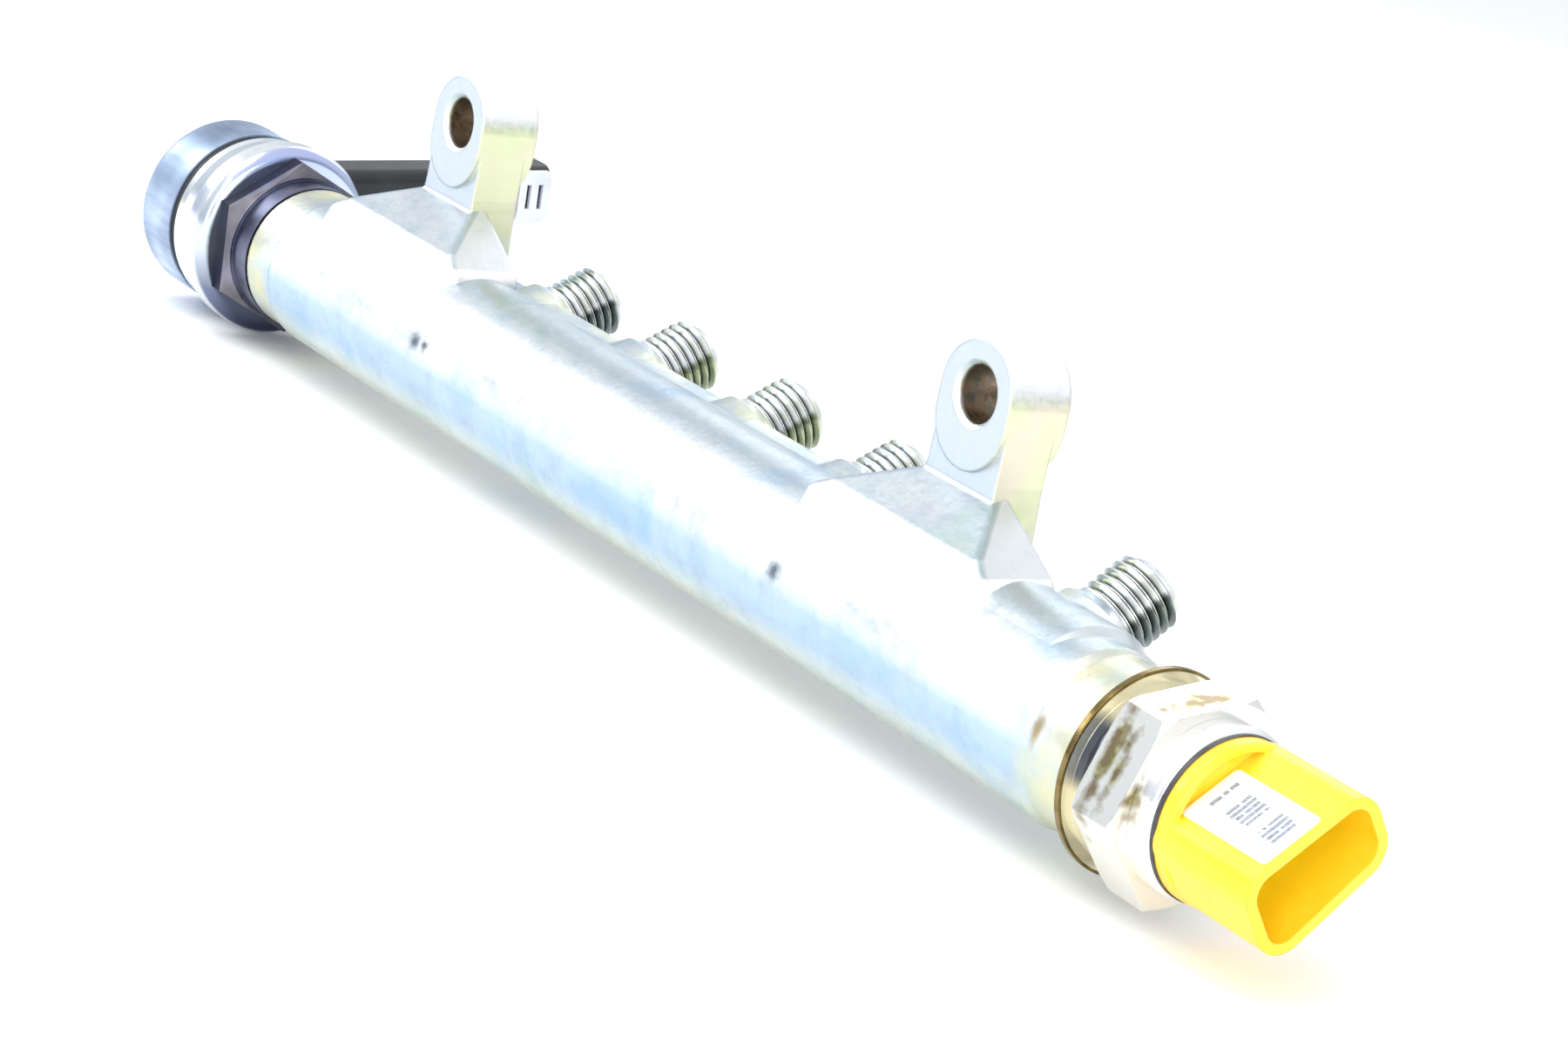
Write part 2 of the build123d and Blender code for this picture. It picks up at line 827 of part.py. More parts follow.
def sensor_plug():
    """Moulded plug: spigot, round base with a raised rim and the keyed shroud."""
    base_end = plug_front + plug_base_length
    base = rod(plug_front, base_end, plug_base_diameter / 2)
    base = fillet(base.edges().filter_by(GeomType.CIRCLE).group_by(Axis.X)[-1], plug_base_round)
    base -= rod(base_end - plug_recess_depth, base_end, plug_recess_diameter / 2)
    spigot_outside = plug_spigot_diameter / 2 - press_clearance
    spigot = tube(
        plug_front - plug_spigot_length, plug_front, spigot_outside - plug_spigot_wall, spigot_outside
    )
    plug = base + plug_bar(plug_front, 0) + spigot
    plug -= plug_bar(plug_floor, plug_wall)
    for offset in terminal_offsets:
        plug -= terminal_blade(offset, press_clearance)
    return plug


def terminal_blade(offset, clearance):
    section = Plane.YZ * Rectangle(terminal_width + 2 * clearance, terminal_thickness + 2 * clearance)
    blade = extrude(section, amount=plug_floor + terminal_reach - terminal_back)
    return across_plug(offset) * Location((terminal_back, 0, 0)) * blade


parts = {
    "rail_body": [rail_body()],
    "valve_body": [valve_body()],
    "valve_o_ring": [o_ring()],
    "valve_backup_ring": [backup_ring()],
    "valve_seat": [valve_seat()],
    "valve_ball": [valve_ball()],
    "armature_pin": [armature_pin()],
    "armature": [armature()],
    "valve_spring": [valve_spring()],
    "coil_bobbin": [coil_bobbin()],
    "coil_winding": [coil_winding()],
    "magnet_pot": [magnet_pot()],
    "pot_seal": [pot_seal()],
    "valve_cap": [valve_cap()],
    "valve_connector": [valve_connector()],
    "connector_lock": [connector_lock()],
    "valve_pins": [valve_pin(side) for side in (-1, 1)],
    "sensor_port": [sensor_port()],
    "pressure_cell": [pressure_cell()],
    "board_carrier": [board_carrier()],
    "sensor_board": [sensor_board()],
    "board_contacts": [board_contact(offset) for offset in terminal_offsets],
    "sensor_shell": [sensor_shell()],
    "sensor_gasket": [sensor_gasket()],
    "sensor_plug": [sensor_plug()],
    "plug_terminals": [terminal_blade(offset, 0) for offset in terminal_offsets],
}

os.makedirs("parts", exist_ok=True)
for name, pieces in parts.items():
    placed = [seat_frame * piece for piece in pieces]
    export_step(placed[0] if len(placed) == 1 else Compound(children=placed), f"parts/{name}.step")
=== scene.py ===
import math

import bmesh
import bpy
from mathutils import Matrix, Vector


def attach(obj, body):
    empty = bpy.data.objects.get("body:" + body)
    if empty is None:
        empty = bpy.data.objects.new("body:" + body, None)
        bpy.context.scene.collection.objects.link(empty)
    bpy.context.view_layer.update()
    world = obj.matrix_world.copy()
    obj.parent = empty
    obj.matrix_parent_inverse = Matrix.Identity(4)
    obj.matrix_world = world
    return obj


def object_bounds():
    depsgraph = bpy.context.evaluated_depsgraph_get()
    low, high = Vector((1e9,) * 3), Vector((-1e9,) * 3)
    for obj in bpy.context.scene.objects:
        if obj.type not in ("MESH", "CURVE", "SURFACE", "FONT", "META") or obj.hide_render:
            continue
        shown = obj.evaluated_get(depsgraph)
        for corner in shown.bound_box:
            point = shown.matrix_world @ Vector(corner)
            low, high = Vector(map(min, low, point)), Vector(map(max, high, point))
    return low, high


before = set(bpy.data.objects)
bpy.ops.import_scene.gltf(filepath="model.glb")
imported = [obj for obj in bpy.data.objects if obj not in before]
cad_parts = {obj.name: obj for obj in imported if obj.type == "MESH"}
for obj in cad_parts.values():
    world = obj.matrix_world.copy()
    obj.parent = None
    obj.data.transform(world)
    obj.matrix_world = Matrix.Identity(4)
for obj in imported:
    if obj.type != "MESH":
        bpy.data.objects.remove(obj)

cad_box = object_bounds()

# Sizes in metres, in the part's frame: X along the rail towards the sensor, Z up, the origin
# between the bolt holes. The rail's own axis lies below and in front of the origin.
MM = 0.001
RAIL_Y = -13.8 * MM
RAIL_Z = -34.3 * MM

# Screwed nipples: place along the rail and clock angle about its axis, from +Y towards +Z
NIPPLES = [
    ("injector_thread_1", -47.5, 30),
    ("injector_thread_2", -17.8, 30),
    ("injector_thread_3", 11.9, 30),
    ("injector_thread_4", 41.6, 30),
    ("pump_thread", 100.0, 40),
]

# Thread turns: a ridge that is sunk a little into the core and rises as it begins
THREAD_FOOT = 15.95 * MM
THREAD_LENGTH = 8.75 * MM
THREAD_PITCH = 1.5 * MM
THREAD_CORE_RADIUS = 5.08 * MM
THREAD_CREST_RADIUS = 6.0 * MM
THREAD_CREST_WIDTH = 0.2 * MM
THREAD_ROOT_WIDTH = 1.46 * MM
THREAD_SUNK = 0.06 * MM
THREAD_RISE_TURNS = 0.5
THREAD_STEPS_PER_TURN = 64

# Side of a thread given painted shade, in its own frame, and the stretch of the rail where it is olive
UNDERSIDE = (0.5, 0.866, 0.0)
OLIVE_MIDDLE = -3.0 * MM
OLIVE_REACH = 25.0 * MM

# Plug: its turn about the rail, the height of its flat side, and its mouth in the turned frame,
# whose floor slopes and whose inside is painted brighter as painted light
PLUG_CLOCK = 36.4
PLUG_FLAT = 7.5 * MM
MOUTH_HALF_WIDTH = 9.9 * MM
MOUTH_CEILING = 6.2 * MM
MOUTH_FLOOR = -4.9 * MM
MOUTH_FLOOR_SLOPE = -0.107
MOUTH_EDGE = 161.6 * MM
MOUTH_DEEP = 152.0 * MM

# Label on the plug's flat side, and its print
LABEL_START = 145.0 * MM
LABEL_END = 161.2 * MM
LABEL_LOW = -6.6 * MM
LABEL_HIGH = 3.2 * MM
LABEL_CORNER = 0.7 * MM
LABEL_THICKNESS = 0.09 * MM
MARK_THICKNESS = 0.02 * MM
STROKE_ROUNDING = 0.2
CORNER_STEPS = 6

# Bolt holes, whose wall is bare from the end of their chamfer
HOLE_X = 73.0 * MM
HOLE_BARE_RADIUS = 4.4 * MM
HOLE_BARE_START = -10.1 * MM
HOLE_BARE_FULL = -9.6 * MM

# Half the length of the rib that runs between the ears' shoulders
RIB_REACH = 50.0 * MM

# Marks in millimetres. The heat mark in front of the sensor's flange and the brown patches on its
# hexagon have a middle and a reach along each axis, the nicks a middle and a width.
HEAT_MARKS = [((118.2, -26.6, -31.4), (1.1, 3.0, 3.6))]
HEX_PATCHES = [
    ((132.8, -26.5, -29.7), (1.2, 8.0, 8.0)),
    ((135.4, -26.5, -30.4), (0.9, 8.0, 4.5)),
    ((135.6, -16.1, -21.0), (1.7, 5.4, 3.0)),
    ((139.4, -26.6, -33.2), (1.0, 3.0, 2.6)),
]
NICKS = [
    ((-48.3, -26.7, -31.3), 2.3),
    ((-45.4, -26.6, -31.2), 1.5),
    ((57.5, -26.8, -32.1), 2.2),
]

# Valve: where the nut's turned bevel begins, the radii of its neck and of the neck's groove,
# and where the pot's coat begins and is full, with its lowest and highest points
NUT_BEVEL_START = -114.75 * MM
NUT_NECK_RADIUS = 13.15 * MM
# Inside this radius the nut is painted near black, as painted shade in the groove
NUT_GROOVE_RADIUS = 12.2 * MM
POT_COAT_START = -119.9 * MM
POT_COAT_FULL = -118.9 * MM
# Lowest and highest points of the pot, between which its coat is painted from slate to lilac
POT_LOW = RAIL_Z - 16 * MM
POT_HIGH = RAIL_Z + 17 * MM

# Sensor port: inner radius of its dark gold rim, darkened as painted shade, where its hexagon
# starts, and the side of the neck that gets a painted dark reflection
PORT_RIM_RADIUS = 14.35 * MM
PORT_HEX_START = 130.58 * MM
DARK_REFLECTION_SIDE = (0.0, -0.95, 0.31)

# Camera, worked out from the photograph: a long lens, turned a little about its own axis
CAMERA_PLACE = (478.8 * MM, -355.6 * MM, 121.7 * MM)
CAMERA_FORWARD = (-0.7604, 0.5933, -0.2643)
CAMERA_RIGHT = (0.5555, 0.8049, 0.2087)
CAMERA_LENS = 90.0
CAMERA_SENSOR = 36.0
CAMERA_CLIP = 10.0 * MM

# Studio, in metres: what most lights are turned to, the way to its dim side, and the floor
PART_MIDDLE = (0.0, 0.0, -0.03)
DIM_SIDE = (0.94, 0.05, -0.33)
FLOOR_GAP = 0.4 * MM
FLOOR_SIZE = 6.0

# Values between which a noise texture mostly lies
NOISE_LOW = 0.3
NOISE_HIGH = 0.7

# Angle past which an edge stays sharp, and the distance under which points are merged
SHARP_ANGLE = math.radians(35)
MERGE_DISTANCE = 0.0005 * MM


def linear(colour):
    """sRGB hex, such as "#c8d2dc", as linear red, green, blue and alpha."""
    parts = [int(colour[i:i + 2], 16) / 255 for i in (1, 3, 5)]
    return tuple(c / 12.92 if c <= 0.04045 else ((c + 0.055) / 1.055) ** 2.4 for c in parts) + (1.0,)


def per(millimetres):
    """Scale of a texture whose features are that large."""
    return 1 / (millimetres * MM)


def add(tree, kind, inputs=None, stops=None, **settings):
    """Adds a node with its settings. Each input is a value, a socket, or a node whose first
    enabled output feeds it. Stops are the (position, hex) of a colour ramp."""
    node = tree.nodes.new(kind)
    for name, value in settings.items():
        setattr(node, name, value)
    for key, value in (inputs or {}).items():
        if isinstance(value, bpy.types.Node):
            value = next(output for output in value.outputs if output.enabled)
        if isinstance(value, bpy.types.NodeSocket):
            tree.links.new(value, node.inputs[key])
        else:
            node.inputs[key].default_value = value
    for index, (position, colour) in enumerate(stops or []):
        elements = node.color_ramp.elements
        element = elements[index] if index < len(elements) else elements.new(position)
        element.position = position
        element.color = linear(colour)
    return node


def finish(name, shine):
    """An empty material with its shader. Shine holds the shader's even values."""
    material = bpy.data.materials.new(name)
    material.use_nodes = True
    tree = material.node_tree
    tree.nodes.clear()
    shader = add(tree, "ShaderNodeBsdfPrincipled", shine)
    add(tree, "ShaderNodeOutputMaterial", {"Surface": shader})
    place = add(tree, "ShaderNodeTexCoord").outputs["Object"]
    return material, tree, shader, place


def dress(tree, shader, colour, roughness=None, normal=None):
    """Joins the worked-out colour and normal to the shader. Roughness is a noise with the least
    and the most that it gives."""
    if roughness is not None:
        noise, least, most = roughness
        roughness = add(tree, "ShaderNodeMapRange", {"Value": noise, "From Min": NOISE_LOW,
            "From Max": NOISE_HIGH, "To Min": least, "To Max": most})
    for name, node in (("Base Color", colour), ("Roughness", roughness), ("Normal", normal)):
        if node is not None:
            tree.links.new(next(output for output in node.outputs if output.enabled), shader.inputs[name])


def laid_over(tree, base, layers, blend="MIX"):
    """Lays colours over one another. Each layer has its masks, or an even strength, which are
    multiplied, and its colour."""
    for masks, colour in layers:
        cover = masks[0]
        for mask in masks[1:]:
            cover = add(tree, "ShaderNodeMath", {0: cover, 1: mask}, operation="MULTIPLY")
        base = add(tree, "ShaderNodeMix", {"Factor": cover, 6: base, 7: colour},
            data_type="RGBA", blend_type=blend)
    return base


def ragged_marks(tree, place, marks, noise, ragged, strength, fading="SMOOTHSTEP"):
    """How strongly marks cover each point. Each mark has its middle and its reach, in millimetres,
    and how many reaches from its middle it is still full and is gone. The noise, times ragged,
    is added to that distance. It lies about 0.5, so both numbers allow for half of ragged."""
    cover = None
    for middle, reach, full, gone in marks:
        away = add(tree, "ShaderNodeVectorMath", {0: place, 1: [v * MM for v in middle]},
            operation="SUBTRACT")
        away = add(tree, "ShaderNodeVectorMath", {0: away, 1: [per(v) for v in reach]},
            operation="MULTIPLY")
        away = add(tree, "ShaderNodeVectorMath", {0: away}, operation="LENGTH")
        away = add(tree, "ShaderNodeMath", {0: noise, 1: ragged, 2: away}, operation="MULTIPLY_ADD")
        mark = add(tree, "ShaderNodeMapRange", {"Value": away, "From Min": full, "From Max": gone,
            "To Min": strength, "To Max": 0.0}, interpolation_type=fading)
        if cover is None:
            cover = mark
        else:
            cover = add(tree, "ShaderNodeMath", {0: cover, 1: mark}, operation="MAXIMUM")
    return cover


def from_axis(tree, place):
    """Distance from the rail's axis, in metres."""
    shifted = add(tree, "ShaderNodeVectorMath", {0: place, 1: (0, -RAIL_Y, -RAIL_Z)}, operation="ADD")
    across = add(tree, "ShaderNodeVectorMath", {0: shifted, 1: (0, 1, 1)}, operation="MULTIPLY")
    return add(tree, "ShaderNodeVectorMath", {0: across}, operation="LENGTH")


def soft_relief(tree, pattern, depth, rounding):
    """Normal of a surface whose pattern stands out and whose edges are rounded, in millimetres."""
    edges = add(tree, "ShaderNodeBevel", {"Radius": rounding * MM}, samples=6)
    return add(tree, "ShaderNodeBump", {"Height": pattern, "Distance": depth * MM, "Normal": edges})


def tool_rings(tree, place, spacing, detail):
    """Noise along the rail's axis, for the rings that a turning or grinding tool leaves."""
    x = add(tree, "ShaderNodeSeparateXYZ", {"Vector": place}).outputs["X"]
    along = add(tree, "ShaderNodeCombineXYZ", {"X": x})
    return add(tree, "ShaderNodeTexNoise", {"Vector": along, "Scale": per(spacing), "Detail": detail})


def zinc_plated_forging():
    """Forged steel, zinc plated with a clear passivation. The thin film gives the eye pale blue,
    lilac and green clouds on a grainy silver, and gold at the turned ends. Colours set by the way
    each face points are painted light: white painted highlights, pale blue and yellow-green painted
    reflections on the tube and the ears, and grey-green and greyer painted shade on the tube's
    underside and on level tops. The bolt holes are bare and brown. The front of the tube has a
    brown heat mark and three dark nicks."""
    material, tree, shader, place = finish("zinc_plated_forging", {"Metallic": 0.92})
    xyz = add(tree, "ShaderNodeSeparateXYZ", {"Vector": place})
    facing = add(tree, "ShaderNodeNewGeometry").outputs["Normal"]
    facing = add(tree, "ShaderNodeSeparateXYZ", {"Vector": facing})
    cloud = add(tree, "ShaderNodeTexNoise",
        {"Vector": place, "Scale": per(20), "Detail": 3, "Distortion": 0.7})
    patch = add(tree, "ShaderNodeTexNoise", {"Vector": place, "Scale": per(8), "Detail": 2})
    blot = add(tree, "ShaderNodeTexNoise",
        {"Vector": place, "Scale": per(4), "Detail": 5, "Roughness": 0.68})

    # Masks by place, by the way a face looks, or by noise: the value where each begins and where
    # it is complete, and its strength at both
    spans = {
        "below_ears": (xyz.outputs["Z"], 0.0, -8 * MM, 0.0, 1.0),
        "above_tube": (xyz.outputs["Z"], -26 * MM, -16 * MM, 0.0, 1.0),
        "ear_top": (xyz.outputs["Z"], -2 * MM, 3 * MM, 0.0, 1.0),
        "left_end": (xyz.outputs["X"], -99 * MM, -103 * MM, 0.0, 1.0),
        "right_end": (xyz.outputs["X"], 115 * MM, 118.5 * MM, 0.0, 1.0),
        "in_hole": (xyz.outputs["Y"], HOLE_BARE_START, HOLE_BARE_FULL, 0.0, 1.0),
        "proud_of_tube": (from_axis(tree, place), 13.4 * MM, 14.2 * MM, 0.0, 1.0),
        # Masks by the way a face points, from here on, place painted light: highlights, reflections and
        # shade
        "painted_light_belt": (facing.outputs["Z"], -0.75, 0.25, 1.0, 0.0),
        "level": (facing.outputs["Z"], 0.62, 0.92, 0.0, 1.0),
        "highlight_crown": (facing.outputs["Z"], 0.1, 0.4, 0.0, 1.0),
        "leaning": (facing.outputs["Z"], 0.1, 0.45, 0.0, 1.0),
        "upright": (facing.outputs["Z"], 0.1, 0.45, 1.0, 0.0),
        "front": (facing.outputs["Y"], -0.8, -0.97, 0.0, 1.0),
        "flank": (facing.outputs["X"], 0.35, 0.9, 0.0, 1.0),
        "highlight_slant": (facing.outputs["X"], 0.4, 0.6, 0.0, 1.0),
        "blotted": (blot, 0.5, 0.76, 0.0, 0.4),
        "green": (patch, 0.42, 0.6, 0.0, 0.6),
        "gold": (patch, 0.36, 0.62, 0.35, 1.0),
    }
    mask = {}
    for name, (value, start, complete, least, most) in spans.items():
        mask[name] = add(tree, "ShaderNodeMapRange", {"Value": value, "From Min": start,
            "From Max": complete, "To Min": least, "To Max": most})
    mask["rib"] = add(tree, "ShaderNodeMath", {0: xyz.outputs["X"], 1: 0.0, 2: RIB_REACH},
        operation="COMPARE")
    mask["end"] = add(tree, "ShaderNodeMath", {0: mask["left_end"], 1: mask["right_end"]},
        operation="MAXIMUM")

    # Inside either bolt hole
    sideways = add(tree, "ShaderNodeMath", {0: xyz.outputs["X"]}, operation="ABSOLUTE")
    sideways = add(tree, "ShaderNodeMath", {0: sideways, 1: HOLE_X}, operation="SUBTRACT")
    from_hole = add(tree, "ShaderNodeCombineXYZ", {"X": sideways, "Z": xyz.outputs["Z"]})
    from_hole = add(tree, "ShaderNodeVectorMath", {0: from_hole}, operation="LENGTH")
    mask["hole"] = add(tree, "ShaderNodeMath", {0: from_hole, 1: HOLE_BARE_RADIUS}, operation="LESS_THAN")

    # Heat mark and nicks, with ragged edges
    heat_marks = [(middle, reach, 0.7, 1.7) for middle, reach in HEAT_MARKS]
    mask["scorched"] = ragged_marks(tree, place, heat_marks, blot, 1.2, 0.8)
    ragged = add(tree, "ShaderNodeTexNoise", {"Vector": place, "Scale": per(1.1), "Detail": 3})
    nicks = [(middle, (1, 1, 1), 1.0, width + 1.0) for middle, width in NICKS]
    mask["nicked"] = ragged_marks(tree, place, nicks, ragged, 2.0, 1.0)

    # Clouds of the film, 20 mm across, under painted light set by the way each face points: a
    # white painted highlight on upward faces, a pale blue painted reflection along the front of the
    # tube, grey-green painted shade towards its underside, and greyer painted shade on top of the
    # tube and rib
    film = add(tree, "ShaderNodeValToRGB", {"Fac": cloud}, [(0.30, "#dcecfb"), (0.42, "#f2f7fc"),
        (0.50, "#fbfcfd"), (0.58, "#f4f5f9"), (0.66, "#e8f3f1"), (0.76, "#f4f6e8")])
    painted_light_belt = add(tree, "ShaderNodeValToRGB", {"Fac": mask["painted_light_belt"]}, [(0.0, "#ffffff"), (0.30, "#b3cbe1"),
        (0.62, "#acc5da"), (0.86, "#cfd9d5"), (1.0, "#d0d5c8")])
    skin = laid_over(tree, film, [
        ([0.9], painted_light_belt),
        ([mask["level"], mask["below_ears"]], linear("#bbc5cb")),
    ], "MULTIPLY")

    # Over it, in this order: dull blots 4 mm across; painted reflections by the way each face
    # points, pale blue on the ears' front and yellow-green on their flanks; a white painted highlight
    # on their tops and on their sloping feet; yellow-green patches on the rib, gold patches on the
    # turned ends, both 8 mm across, and the marks and the bare holes
    flank = add(tree, "ShaderNodeValToRGB", {"Fac": cloud}, [(0.36, "#e2eabd"), (0.6, "#e7e1cb")])
    rust = add(tree, "ShaderNodeValToRGB", {"Fac": blot},
        [(0.35, "#5c5040"), (0.5, "#9a8570"), (0.64, "#6d786c")])
    skin = laid_over(tree, skin, [
        ([mask["blotted"]], linear("#93a6b4")),
        ([mask["front"], mask["above_tube"]], linear("#c6d0da")),
        ([mask["flank"], mask["above_tube"], mask["upright"]], flank),
        ([mask["highlight_crown"], mask["ear_top"]], linear("#ffffff")),
        ([mask["highlight_slant"], mask["below_ears"], mask["leaning"]], linear("#ffffff")),
        ([mask["green"], mask["proud_of_tube"], mask["rib"]], linear("#dfe3c4")),
        ([mask["gold"], mask["end"]], linear("#d9d8b6")),
        ([mask["scorched"]], linear("#a4884a")),
        ([mask["nicked"]], linear("#707a84")),
        ([mask["hole"], mask["in_hole"]], rust),
    ])

    # Forged texture 3.5 mm across and a grain of 0.8 mm, drawn coarser than the real one to show
    forged = add(tree, "ShaderNodeTexNoise", {"Vector": place, "Scale": per(3.5), "Detail": 3})
    grain = add(tree, "ShaderNodeTexNoise",
        {"Vector": place, "Scale": per(0.8), "Detail": 4, "Roughness": 0.6})
    relief = soft_relief(tree, forged, 0.12, 0.6)
    relief = add(tree, "ShaderNodeBump", {"Height": grain, "Distance": 0.02 * MM, "Normal": relief})
    dress(tree, shader, skin, (grain, 0.30, 0.46), relief)
    return material


def cut_thread_steel():
    """Cut steel thread, oiled: a painted highlight on the crests and painted shade in the grooves,
    and painted shade on the underside, grey at the ends of the rail and olive at its middle."""
    material, tree, shader, place = finish("cut_thread_steel", {"Metallic": 1.0})
    crest = add(tree, "ShaderNodeAttribute", attribute_name="crest").outputs["Fac"]
    painted_shade_side = add(tree, "ShaderNodeAttribute", attribute_name="painted_shade_side").outputs["Fac"]
    painted_shade_side = add(tree, "ShaderNodeMapRange", {"Value": painted_shade_side, "From Min": 0.08, "From Max": 0.3},
        interpolation_type="SMOOTHSTEP")
    x = add(tree, "ShaderNodeSeparateXYZ", {"Vector": place}).outputs["X"]
    olive = add(tree, "ShaderNodeMath", {0: x, 1: OLIVE_MIDDLE, 2: OLIVE_REACH}, operation="COMPARE")
    oil = add(tree, "ShaderNodeTexNoise", {"Vector": place, "Scale": per(5), "Detail": 2})
    # Painted shade in the grooves and a painted highlight on the crests, by nearness to the crest
    flank = add(tree, "ShaderNodeValToRGB", {"Fac": crest},
        [(0.0, "#5a6165"), (0.28, "#9aa1a5"), (0.55, "#e6e9ec"), (1.0, "#fbfbff")])
    tint = add(tree, "ShaderNodeValToRGB", {"Fac": oil},
        [(0.38, "#ffffff"), (0.55, "#e9ebdd"), (0.7, "#e4e2f0")])
    # Colour of the painted shade on the underside: grey near the rail's ends, olive at its middle
    film = add(tree, "ShaderNodeMix", {"Factor": olive, 6: linear("#989f9c"), 7: linear("#c2c8ac")},
        data_type="RGBA")
    colour = laid_over(tree, flank, [([0.8], tint), ([painted_shade_side], film)], "MULTIPLY")
    dress(tree, shader, colour, (oil, 0.18, 0.3))
    return material


def black_passivated_steel():
    """Zinc-nickel plated nut, black passivated: nearly black flats with a blue sheen, a grey-brown
    turned bevel where the coat is thin, a slate neck, and painted shade in the neck's groove."""
    material, tree, shader, place = finish("black_passivated_steel", {"Metallic": 1.0})
    x = add(tree, "ShaderNodeSeparateXYZ", {"Vector": place}).outputs["X"]
    radius = from_axis(tree, place)
    bevel = add(tree, "ShaderNodeMath", {0: x, 1: NUT_BEVEL_START}, operation="GREATER_THAN")
    neck = add(tree, "ShaderNodeMath", {0: radius, 1: NUT_NECK_RADIUS}, operation="LESS_THAN")
    groove = add(tree, "ShaderNodeMath", {0: radius, 1: NUT_GROOVE_RADIUS}, operation="LESS_THAN")
    cloud = add(tree, "ShaderNodeTexNoise", {"Vector": place, "Scale": per(6), "Detail": 3})
    coat = add(tree, "ShaderNodeValToRGB", {"Fac": cloud},
        [(0.35, "#0d0f1a"), (0.55, "#171a2c"), (0.72, "#20243c")])
    thin = add(tree, "ShaderNodeValToRGB", {"Fac": cloud},
        [(0.3, "#5e5d68"), (0.55, "#78757c"), (0.75, "#8e8b9b")])
    slate = add(tree, "ShaderNodeValToRGB", {"Fac": cloud},
        [(0.3, "#4e5266"), (0.55, "#666a80"), (0.75, "#807e93")])
    # The groove is painted near black as painted shade
    colour = laid_over(tree, coat, [([bevel], thin), ([neck], slate), ([groove], linear("#14151c"))])
    soft = add(tree, "ShaderNodeBevel", {"Radius": 0.25 * MM}, samples=6)
    dress(tree, shader, colour, (cloud, 0.24, 0.36), soft)
    return material


def bright_pot_steel():
    """Turned and bright plated steel: mirror-like, with rings 0.35 mm apart, drawn coarser than
    the real ones to show. Its rounded front has a blue coat, painted from lilac above to slate
    below as painted reflection and shade."""
    material, tree, shader, place = finish("bright_pot_steel", {"Metallic": 1.0})
    xyz = add(tree, "ShaderNodeSeparateXYZ", {"Vector": place})
    height = add(tree, "ShaderNodeMapRange",
        {"Value": xyz.outputs["Z"], "From Min": POT_LOW, "From Max": POT_HIGH})
    front = add(tree, "ShaderNodeMapRange",
        {"Value": xyz.outputs["X"], "From Min": POT_COAT_START, "From Max": POT_COAT_FULL})
    cloud = add(tree, "ShaderNodeTexNoise", {"Vector": place, "Scale": per(7), "Detail": 3})
    bright = add(tree, "ShaderNodeValToRGB", {"Fac": cloud},
        [(0.35, "#f4f8fa"), (0.55, "#eef4f7"), (0.7, "#cfd5ef")])
    # Painted reflection and shade: the coat is painted darker towards the bottom, lilac above, slate below
    coat = add(tree, "ShaderNodeValToRGB", {"Fac": height},
        [(0.0, "#565c76"), (0.20, "#7c849e"), (0.42, "#cdd6df"), (0.7, "#d6e4ee"), (1.0, "#bac3f0")])
    colour = laid_over(tree, bright, [([front], coat)])
    rings = tool_rings(tree, place, 0.35, 3)
    dress(tree, shader, colour, (rings, 0.14, 0.25), soft_relief(tree, rings, 0.006, 0.25))
    return material


def nickel_plated_steel(name, tint, patch_colour, patch_strength):
    """Turned and nickel plated steel of the sensor: bright, with rings 0.35 mm apart, drawn
    coarser than the real ones to show, and a few patches from brown to olive. The neck and the
    flange's face are painted cream as a painted reflection, with a slate painted dark reflection on
    the side that faces front and down, and the flange's rim is gold, darkened as painted shade."""
    material, tree, shader, place = finish(name, {"Metallic": 0.85})
    x = add(tree, "ShaderNodeSeparateXYZ", {"Vector": place}).outputs["X"]
    neck = add(tree, "ShaderNodeMath", {0: x, 1: PORT_HEX_START}, operation="LESS_THAN")
    rim = add(tree, "ShaderNodeMath", {0: from_axis(tree, place), 1: PORT_RIM_RADIUS},
        operation="GREATER_THAN")
    facing = add(tree, "ShaderNodeNewGeometry").outputs["Normal"]
    # Painted dark reflection on the side of the neck that faces front and down
    dark_reflection = add(tree, "ShaderNodeVectorMath", {0: facing, 1: DARK_REFLECTION_SIDE}, operation="DOT_PRODUCT")
    dark_reflection = add(tree, "ShaderNodeMapRange", {"Value": dark_reflection, "From Min": 0.88, "From Max": 0.97},
        interpolation_type="SMOOTHSTEP")
    cloud = add(tree, "ShaderNodeTexNoise", {"Vector": place, "Scale": per(2.4), "Detail": 3})
    hex_patches = [(middle, reach, 2.0, 3.0) for middle, reach in HEX_PATCHES]
    amount = ragged_marks(tree, place, hex_patches, cloud, 3.0, patch_strength, "LINEAR")
    hue = add(tree, "ShaderNodeTexNoise", {"Vector": place, "Scale": per(3), "Detail": 2})
    hue = add(tree, "ShaderNodeValToRGB", {"Fac": hue},
        [(0.38, "#8a7454"), (0.5, patch_colour), (0.62, "#b9bc8a")])
    # The neck and the flange's face are painted cream as a painted reflection
    cream = laid_over(tree, linear("#ece7cf"), [([dark_reflection], linear("#5a6070"))])
    # The flange's rim is gold, darkened as painted shade along its edge
    gold = add(tree, "ShaderNodeValToRGB", {"Fac": cloud}, [(0.36, "#6d5b34"), (0.6, "#8a784c")])
    colour = laid_over(tree, linear(tint), [([amount], hue), ([neck], cream), ([rim, neck], gold)])
    rings = tool_rings(tree, place, 0.35, 3)
    dress(tree, shader, colour, (rings, 0.12, 0.22), soft_relief(tree, rings, 0.006, 0.25))
    return material


